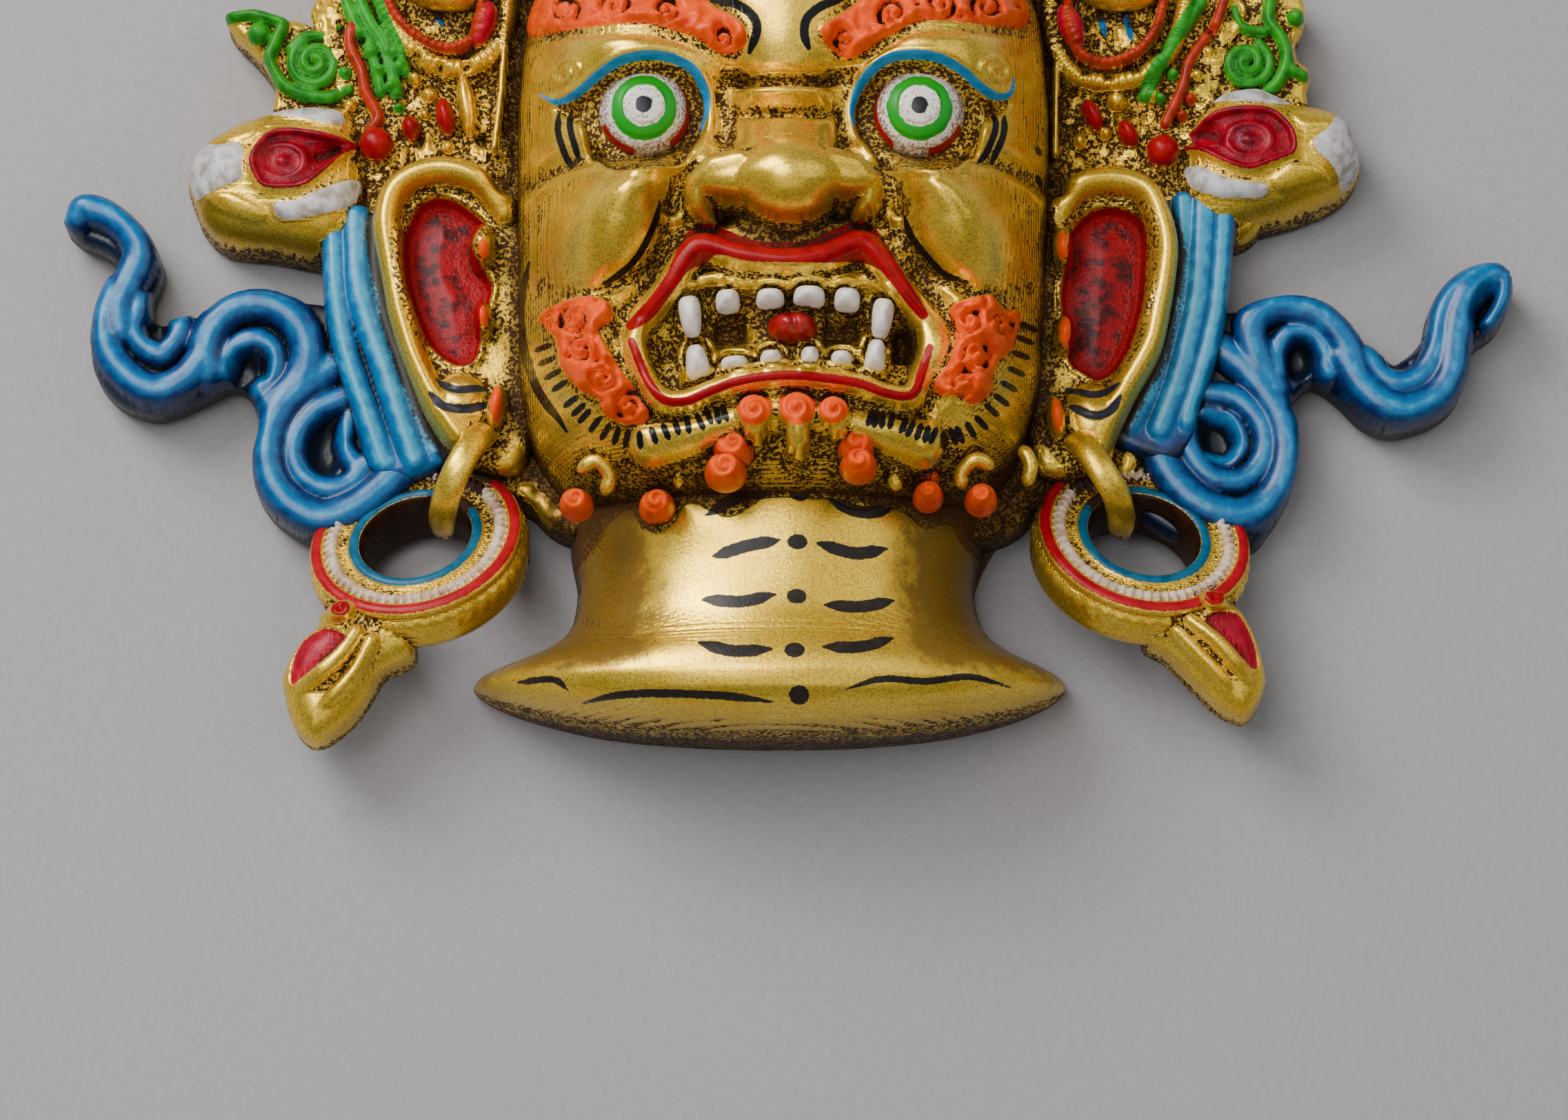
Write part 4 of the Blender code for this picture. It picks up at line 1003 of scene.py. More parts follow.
def tube(points, half_width, half_height, turns=14, taper=0.4):
    """Oval tube along a smooth path, narrowed towards both ends by its taper."""
    line = curve(points, 0.45)
    along = np.gradient(line, axis=0)
    along /= np.linalg.norm(along, axis=1)[:, None]
    side = np.cross(along, (0, 0, 1.0))
    side /= np.maximum(np.linalg.norm(side, axis=1), 1e-6)[:, None]
    up = np.cross(side, along)
    t = np.linspace(0, 1, len(line))
    size = np.minimum(1, taper + 5 * np.minimum(t, 1 - t))[:, None, None]
    a = np.linspace(0, 2 * pi, turns, endpoint=False)[None, :, None]
    rows = line[:, None, :] + size * (side[:, None, :] * half_width * np.cos(a)
                                      + up[:, None, :] * half_height * np.sin(a))
    faces = grid_faces(len(line), turns, around=True)
    faces.append(list(range(turns))[::-1])
    faces.append(list(range((len(line) - 1) * turns, len(line) * turns)))
    return rows.reshape(-1, 3), faces


def join_parts(parts):
    """Several runs of points and faces as one, with the number of the part each point came from."""
    points, faces, number, start = [], [], [], 0
    for k, (part, part_faces) in enumerate(parts):
        points.append(part)
        faces += [[v + start for v in face] for face in part_faces]
        number.append(np.full(len(part), float(k)))
        start += len(part)
    return np.vstack(points), faces, np.concatenate(number)


def paint_material(name, layers, patina=1.0):
    """Antique gold with enamel coats over it."""
    material, tree, shader, noises, skin = gold_under(name, patina)
    paint_coats(tree, shader, noises, skin, layers)
    return material


def make_beard():
    """Knobs with a spiral groove, enamelled orange, and the gold hooks beside them."""
    parts = []
    for k, (x, y, r) in enumerate(JAW_CURLS):
        near_chin = abs(x) < 12
        high = 43.4 if near_chin else 33.0
        y -= VIEW_SLOPE * (high - (FACE_LEVEL if near_chin else 28.0))
        points, faces = dome((x, y), (r, r * 0.9), 0, high, 7.5, rings=20, turns=44)
        points[:, 2] = cut_line(points[:, 0], points[:, 1], points[:, 2],
                                spiral((x, y), r * 0.8, 1.2, 60 * k, 1), 0.34, 0.7)
        points[:, 2] -= 1.3 * np.exp(-(np.hypot(points[:, 0] - x, points[:, 1] - y) / (0.3 * r)) ** 2)
        parts.append((points, faces))
    orange_count = len(parts)
    parts += [tube(line, 1.0, 1.3) for line in JAW_HOOKS]
    points, faces, number = join_parts(parts)
    add_piece("beard_curls", points, faces,
              paint_material("beard_paint", [("orange", ORANGE, DEEP_ORANGE, 0.5)]),
              {"orange": np.where(number < orange_count, -0.4, 2.0)})


make_neck()
make_beard()

# Teeth and tongue
# Ten upper and lower teeth with four fangs, enamelled white, and a red tongue tip; cast in the mouth.
def make_teeth():
    """Square-shouldered domes; the fangs narrow to their tips."""
    parts = []
    for row, flip in ((UPPER_TEETH, 180), (LOWER_TEETH, 0)):
        for (x, y), half, turn, top, taper in row:
            place = (x, y - VIEW_SLOPE * (top - 0.5 - FACE_LEVEL))
            parts.append(dome(place, half, turn + flip, top, 4.2, 3.2, taper, rings=14, turns=36))
    points, faces, _ = join_parts(parts)
    material, tree, shader = new_material("tooth_enamel", 0.35)
    fine = noise(tree, 2200.0, 4.0, 0.65)
    dirt = calc(tree, "ADD", attribute(tree, "hollow"),
                sway(tree, fine, 3.0))
    white = mix_colour(tree, steps(tree, noise(tree, 700.0), 0.4, 0.7), srgb(222, 216, 208),
                       srgb(200, 190, 180))
    tree.links.new(mix_colour(tree, steps(tree, dirt, 0.3, 0.8), white, srgb(96, 76, 50)),
                   shader.inputs["Base Color"])
    bump(tree, shader, fine, 0.0001, 0.4)
    add_piece("teeth", points, faces, material)


def make_tongue():
    """Low dome with a soft fold across it."""
    points, faces = dome((0.9, 22.0), (3.3, 2.0), 0, 45.0, 5.0, 2.4, rings=26, turns=60)
    points[:, 2] = cut_line(points[:, 0], points[:, 1], points[:, 2],
                            [(0.2, 23.6), (1.0, 22.4), (1.2, 20.6)], 0.5, 0.6)
    material, tree, shader = new_material("tongue_enamel", 0.28)
    tone = steps(tree, noise(tree, 500.0, 3.0), 0.35, 0.7)
    tree.links.new(mix_colour(tree, tone, RED, DEEP_RED),
                   shader.inputs["Base Color"])
    add_piece("tongue", points, faces, material)


make_teeth()
make_tongue()

# Ears
# Long gold ears: a rolled rim round a red bowl, black strokes on the lobe, and small lumps at the cheek.
EAR_SHAPES = {
    "left_ear": {
        "outline": [(-36, 47), (-39.2, 48.2), (-41, 50.9), (-44, 52.6), (-48.2, 52.9),
                    (-52.2, 51.6), (-55.1, 49.2), (-56.4, 45.4), (-56.5, 42.3), (-55.9, 39.2),
                    (-54.9, 34.5), (-54.1, 30.2), (-52.5, 25.2), (-50.6, 20.5), (-49.3, 17.4),
                    (-47.5, 14.3), (-45.6, 11.8), (-42, 9.8), (-36, 10), (-33.4, 20), (-34, 36)],
        "rim": [(-38.6, 45.6, 17), (-40.6, 49, 19), (-44, 50.9, 19.6), (-48.2, 51.3, 19.6),
                (-51.6, 50.1, 19.6), (-54, 47.8, 19.6), (-54.9, 44.4, 19.6), (-54.8, 40.8, 19.6),
                (-54, 35, 19.4), (-52.6, 29.4, 19.2), (-51, 24.4, 19.2), (-48.8, 20, 19.2),
                (-46.6, 16.4, 19), (-44.4, 13.6, 18.6)],
        "bowl": [(-41.5, 44.2), (-43.4, 45.9), (-45.2, 47.1), (-47.6, 47.7), (-50, 46.8),
                 (-51.2, 44.8), (-52.2, 42), (-52.3, 38.5), (-51.7, 34.5), (-50.6, 31.4),
                 (-49, 27.6), (-46.8, 25.1), (-44.4, 24), (-42.4, 24.8), (-41.6, 28),
                 (-40.6, 32.6), (-40.2, 34.8), (-40.7, 36.3), (-41.9, 37.6), (-42.7, 39.5),
                 (-42, 41.3), (-40.8, 42.6)],
        "lobe": ((-44.4, 17.6), (4.6, 5.2), 18.8),
        "arcs": [[(-47.4, 21.1), (-44.5, 19.5), (-40.5, 20.3)],
                 [(-48.2, 18.9), (-46.3, 17.1), (-42.9, 16.8), (-40.4, 18.0)]],
        "lumps": [((-41.4, 40.1), (1.8, 3.0), 0, 20.6), ((-41.2, 29.9), (1.3, 2.6), 10, 20),
                  ((-39.2, 17.4), (1.2, 3.0), -10, 21)],
        "orange": [((-41.1, 38.9), (0.7, 1.2)), ((-40.9, 29.6), (0.6, 1.5)),
                   ((-39.2, 17.4), (0.85, 2.6))],
    },
    "right_ear": {
        "outline": [(35, 46), (38.1, 47.6), (38.5, 49.6), (40.6, 51), (44.6, 51.5), (48.2, 50.9),
                    (50.6, 49.5), (52, 47), (53.3, 43.2), (53.7, 39.8), (53.3, 35.7),
                    (52.6, 31.4), (51.6, 26.7), (50.3, 23.6), (48.4, 20.5), (46.8, 17.4),
                    (45.2, 14), (43.8, 10.1), (40, 8.6), (34, 9.6), (32.6, 20), (33, 36)],
        "rim": [(37.2, 44.6, 17), (38.6, 47.6, 19), (41, 49.3, 19.6), (44.6, 49.8, 19.6),
                (47.9, 49.2, 19.6), (50.2, 47.6, 19.6), (51.6, 44.4, 19.6), (52.4, 40, 19.6),
                (52, 35.6, 19.4), (51, 31, 19.2), (50, 26.6, 19.2), (48.2, 23, 19.2),
                (45.8, 19.2, 19), (43.8, 15.4, 18.6), (42.6, 12, 18)],
        "bowl": [(38.8, 42), (39.7, 43.5), (41.5, 45.4), (44.5, 46.4), (47.4, 45.6), (49.1, 43.9),
                 (49.5, 40.7), (49.3, 37), (48.9, 32.9), (47.8, 28.9), (46.6, 25.8), (44.7, 23),
                 (42.6, 21.9), (40.5, 23), (38.7, 24.8), (37.9, 31.4), (37.8, 34.5),
                 (38.3, 37.6)],
        "lobe": ((41.8, 15.8), (4.8, 5.6), 18.8),
        "arcs": [[(38.3, 20.5), (41.7, 18.9), (45.2, 20.3)],
                 [(38.5, 17.5), (41.6, 15.8), (44, 16.5), (45.4, 18.5)]],
        "lumps": [((37.9, 39.8), (1.6, 3.0), 0, 20.6), ((38, 27.6), (1.4, 2.8), -10, 20),
                  ((36.7, 15.8), (1.2, 3.0), 10, 21)],
        "orange": [((37.7, 39.4), (0.7, 1.9)), ((37.9, 27.6), (0.8, 2.1)), ((36.8, 15.8), (0.8, 2.4))],
    },
}


def relief_piece(name, outline, step, height, marks, material, edge=0.8, under=1.0, base=True):
    """Carved sheet over an outline: z is height(x, y) with its rim rounded and drawn down to a flat under.

    The grid nodes left at the rim are moved onto the outline, and z falls there by
    edge (1 - sqrt(1 - (1 + d / edge)^2)), d being the distance to the outline, negative inside.
    """
    line = curve(outline, step, closed=True)[:, :2]
    low, high = line.min(0) - step, line.max(0) + step
    across, down = (int(n / step) + 2 for n in high - low)
    gx, gy = np.meshgrid(low[0] + step * np.arange(across), low[1] + step * np.arange(down))
    x, y = gx.ravel(), gy.ravel()
    d, _, foot = nearest(x, y, line, closed=True)
    d = np.where(inside(x, y, line), -d, d)
    cells = np.array(grid_faces(down, across))
    cells = cells[(d[cells] < 0.35 * step).all(axis=1)]
    ends = np.concatenate([cells[:, [k, (k + 1) % 4]] for k in range(4)])
    code = ends[:, 0].astype(np.int64) * len(x) + ends[:, 1]
    back = ends[:, 1].astype(np.int64) * len(x) + ends[:, 0]
    rim = ends[~np.isin(code, back)]
    at_rim = np.unique(rim)
    x[at_rim], y[at_rim], d[at_rim] = foot[at_rim, 0], foot[at_rim, 1], 0.0
    used = np.unique(cells)
    place = np.full(len(x), -1)
    place[used] = np.arange(len(used))
    x, y, d = x[used], y[used], np.minimum(d[used], 0)
    z = height(x, y)
    z = z - edge * (1 - shoulder(d, edge))
    values = marks(x, y)
    points = np.stack([x, y, z], axis=1)
    rim = place[rim]
    foot_number = np.full(len(used), -1)
    lower = np.unique(rim)
    foot_number[lower] = len(used) + np.arange(len(lower))
    skirt = points[lower].copy()
    skirt[:, 2] = under
    flat = np.column_stack([line, np.full(len(line), under)])
    faces = place[cells].tolist()
    faces += [[b, a, foot_number[a], foot_number[b]] for a, b in rim]
    start = len(used) + len(lower)
    if base:
        faces.append((start + np.arange(len(line)))[::-1].tolist())
    tail = [np.full(len(lower) + len(line), 3.0)]
    values = {key: np.concatenate([value] + tail) for key, value in values.items()}
    return add_piece(name, np.vstack([points, skirt, flat]), faces, material, values)


def ear_material():
    """Gold rim, a red bowl streaked with dirt, a granular groove round it, black and orange strokes."""
    material, tree, shader, noises, skin = gold_under("ear_paint", 0.9, 0.5)
    groove = calc(tree, "MULTIPLY", steps(tree, attribute(tree, "bowl"), 1.2, 2.0, 1.0, 0.0),
                  steps(tree, noises["Speck"], 0.46, 0.56))
    skin = darken(tree, skin, groove, BROWN)
    bowl = steps(tree, attribute(tree, "bowl"), -1.9, -1.1, 1.0, 0.0)
    streak = steps(tree, calc(tree, "ADD", noises["Middle"], calc(tree, "MULTIPLY", noises["Fine"], 0.4)),
                   0.62, 0.86)
    red = mix_colour(tree, calc(tree, "MULTIPLY", bowl, streak), srgb(140, 2, 12), srgb(54, 8, 12))
    paint_coats(tree, shader, noises, skin, [
        ("bowl", red, red, 0.3), ("black", srgb(32, 32, 38), srgb(48, 48, 54), 0.3),
        ("orange", ORANGE, DEEP_ORANGE, 0.3)], 0.3)
    return material


def make_ears():
    """Ear sheets: the rim and lobe stand up from a plain plate, the bowl is sunk into it."""
    material = ear_material()
    for name, shape in EAR_SHAPES.items():
        def height(x, y, shape=shape):
            z = np.full(len(x), 14.6)
            z = raise_ball(x, y, z, shape["lobe"][0], shape["lobe"][1], 0, shape["lobe"][2], 5, 1.2)
            z = raise_rope(x, y, z, shape["rim"], 2.5, 4.6, 0.8)
            d = area_distance(x, y, shape["bowl"])
            sink = np.clip(0.35 - d / 1.3, 0, 1)
            z = z - 2.6 * sink * sink * (3 - 2 * sink) + 0.9 * np.clip(-d / 5, 0, 1)
            z = z + 0.7 * np.exp(-((d - 0.5) / 0.5) ** 2)
            for centre, half, turn, top in shape["lumps"]:
                z = raise_ball(x, y, z, centre, half, turn, top, 4, 0.4)
            for line in shape["arcs"]:
                z = cut_line(x, y, z, line, 0.5, 0.4)
            return z

        def marks(x, y, shape=shape):
            black, orange = np.full(len(x), FAR), np.full(len(x), FAR)
            for line in shape["arcs"]:
                black = np.minimum(black, stroke_distance(x, y, line, 0.62, 0.4))
            for centre, half in shape["orange"]:
                reach = np.hypot((x - centre[0]) / half[0], (y - centre[1]) / half[1])
                orange = np.minimum(orange, (reach - 1) * min(half))
            return {"bowl": area_distance(x, y, shape["bowl"]), "black": black, "orange": orange}

        relief_piece(name, shape["outline"], 0.32, height, marks, material, 2.4, 4.0)


make_ears()

# Ear rings
# Thick collar rings leaning forward at the bottom, banded red, white and blue, each hung on a gold strap
# and ending in a bud pendant with a magenta face. All cast in one with the ears.
RING_PROFILE = [
    (7.9, -8.4), (7.5, -6.0), (7.3, -3.0), (7.5, -0.9), (7.9, -0.15), (8.5, 0.1), (9.1, -0.1),
    (9.5, -0.45), (10.3, -0.5), (10.8, -0.3), (11.3, 0.2), (12.0, 0.25), (12.5, -0.2), (12.9, 0.0),
    (13.6, 0.15), (14.3, -0.1), (14.7, -0.7), (14.5, -1.3), (14.5, -1.7), (14.9, -2.3), (15.1, -3.2),
    (14.9, -5.0), (14.6, -6.8), (13.6, -8.2), (12.0, -8.5), (9.5, -8.5), (7.9, -8.4),
]
RING_PLACES = {"left_ring": ((-50.2, 0.0, 14.4), 17.0), "right_ring": ((48.7, 0.4, 14.4), -17.0)}
RING_LEAN = 30.0
HOOKS = {
    "left_hook": [(-40.4, 14.2, 16.5), (-42.0, 12.0, 19.4), (-43.8, 8.6, 20.6), (-45.4, 5.4, 19.2),
                  (-46.5, 2.6, 15.0), (-46.8, 1.8, 9.0)],
    "right_hook": [(39.0, 13.4, 16.5), (40.8, 10.8, 19.4), (42.8, 7.4, 20.4), (44.6, 4.8, 18.6),
                   (45.6, 2.4, 14.0), (45.6, 1.8, 9.0)],
}
PENDANTS = {
    "left_pendant": {
        "outline": [(-62.4, -10.6), (-63.2, -12.8), (-65, -14.2), (-66.9, -17), (-67.8, -19.6),
                    (-67.5, -21.9), (-66.8, -24.7), (-65.4, -27.2), (-63.6, -28.4),
                    (-61.6, -27.8), (-59.1, -25.9), (-57.4, -24), (-55.7, -21.4), (-54.2, -18.9),
                    (-50, -16), (-52, -10), (-57, -8)],
        "petal": [(-65.4, -15.6), (-63.6, -13.9), (-61.4, -13.5), (-58.9, -15), (-60.3, -16.8),
                  (-62.5, -18.7), (-65, -20.2), (-66.4, -20.9), (-66.4, -18.2)],
        "ridges": [[(-57.6, -14.4, 20.6), (-59.6, -17.4, 21), (-62.6, -20, 20.4), (-66.2, -22, 17)],
                   [(-55.6, -15.4, 19.6), (-57.6, -19.4, 19.4), (-60.6, -22.6, 18.6),
                    (-64.4, -25.4, 16)]],
        "bead": ((-59.7, -11.2), (2.2, 1.7), 10),
    },
    "right_pendant": {
        "outline": [(60.4, -9.6), (62.4, -11.8), (64.1, -16.2), (64.7, -19.1), (64.6, -20.8),
                    (63.4, -23.6), (61.7, -25), (58.4, -23.6), (55.7, -21), (51.6, -16.8),
                    (48.4, -14.4), (50, -9), (55, -7)],
        "petal": [(57, -11.7), (60.4, -11.2), (62, -12.8), (63.2, -15.7), (63.5, -18.4),
                  (62.6, -18.7), (59.8, -15.7), (56.7, -13.2)],
        "ridges": [[(54.4, -12.8, 20.4), (57.6, -15.4, 20.8), (60.4, -18.4, 20), (62.9, -21, 17)],
                   [(52.6, -14.2, 19.4), (55.6, -17.4, 19.2), (58.6, -20.4, 18.6),
                    (61, -23.2, 16)]],
        "bead": ((57.6, -9.7), (2.1, 1.6), -20),
    },
}


def make_rings():
    """Profile of radius and height carried round an oval, its white band and rim broken into beads."""
    layers = [("red", srgb(160, 8, 26), srgb(138, 4, 18), 0.4),
              ("white", srgb(206, 186, 164), srgb(168, 138, 110), 0.5),
              ("blue", srgb(16, 88, 116), srgb(10, 66, 92), 0.4),
              ("dark", srgb(34, 18, 10), srgb(52, 28, 12), 0.6)]
    material = paint_material("ring_paint", layers)
    profile = curve([(r, h, 0) for r, h in RING_PROFILE], 0.26)[:, :2]
    radius, height = profile[:, 0], profile[:, 1]
    front = height > -1.6
    turns = 330
    a = np.linspace(0, 2 * pi, turns, endpoint=False)[:, None]
    white = np.where(front, np.abs(radius - 11.7) - 0.85, 3.0)
    rim = np.where(~front & (radius > 14.2), np.abs(height + 3.2) - 0.8, 3.0)
    bead = np.maximum(0, 1 - np.maximum(white, 0) * 4) * 0.3 * np.cos(a * 62)
    bead = bead + (rim < 0.2) * 0.16 * np.cos(a * 44)
    for name, (centre, turn) in RING_PLACES.items():
        r = radius[None, :] + 0.5 * bead
        h = height[None, :] + bead * front[None, :]
        c, s = cos(radians(RING_LEAN)), sin(radians(RING_LEAN))
        u, v = r * np.cos(a), r * np.sin(a) * 0.94
        u, v, w = u, v * c + h * s, -v * s + h * c
        c, s = cos(radians(turn)), sin(radians(turn))
        points = np.stack([centre[0] + u * c - v * s, centre[1] + u * s + v * c, centre[2] + w],
                          axis=-1).reshape(-1, 3)
        side = np.where((radius < 8.2) & (height < -0.25), -1.0, 2.0)
        marks = {"red": np.where(front, np.abs(radius - 13.75) - 0.72, 3.0), "white": white,
                 "blue": np.where(front, np.abs(radius - 8.55) - 0.68, 3.0), "dark": side}
        marks = {key: np.tile(value, turns) for key, value in marks.items()}
        count = len(profile)
        faces = [[i, j, k, m] for i, m, k, j in grid_faces(turns, count)]
        last = (turns - 1) * count
        faces += [[last + j, j, j + 1, last + j + 1] for j in range(count - 1)]
        add_piece(name, points, faces, material, marks)


def make_hooks():
    """Flat straps bent over the ring into its hole."""
    material = paint_material("hook_paint", [])
    for name, points in HOOKS.items():
        points, faces = tube(points, 1.95, 1.15, 18, 0.8)
        add_piece(name, points, faces, material)


def make_pendants():
    """Bud shapes with two raised petal edges, a magenta face and a red dimpled bead at the ring."""
    material = paint_material("pendant_paint", [
        ("petal", srgb(156, 8, 36), srgb(126, 4, 24), 0.5), ("red", RED, DEEP_RED, 0.3)])
    for name, shape in PENDANTS.items():
        (bx, by), half, turn = shape["bead"]

        def height(x, y, shape=shape, bx=bx, by=by, half=half, turn=turn):
            z = np.full(len(x), 18.8) - 0.12 * np.hypot(x - bx, y - by)
            for line in shape["ridges"]:
                z = raise_rope(x, y, z, line, 1.1, 1.6, 0.3)
            z = z - 0.5 * (area_distance(x, y, shape["petal"]) < 0)
            z = raise_ball(x, y, z, (bx, by), half, turn, 21.2, 2.6, 0.4)
            return z - 1.1 * np.exp(-(np.hypot(x - bx, y - by) / 0.55) ** 2)

        def marks(x, y, shape=shape, bx=bx, by=by):
            return {"petal": area_distance(x, y, shape["petal"]),
                    "red": np.hypot(x - bx, (y - by) * 1.2) - 1.35}

        relief_piece(name, shape["outline"], 0.26, height, marks, material, 4.0, 8.0)


make_rings()
make_hooks()
make_pendants()
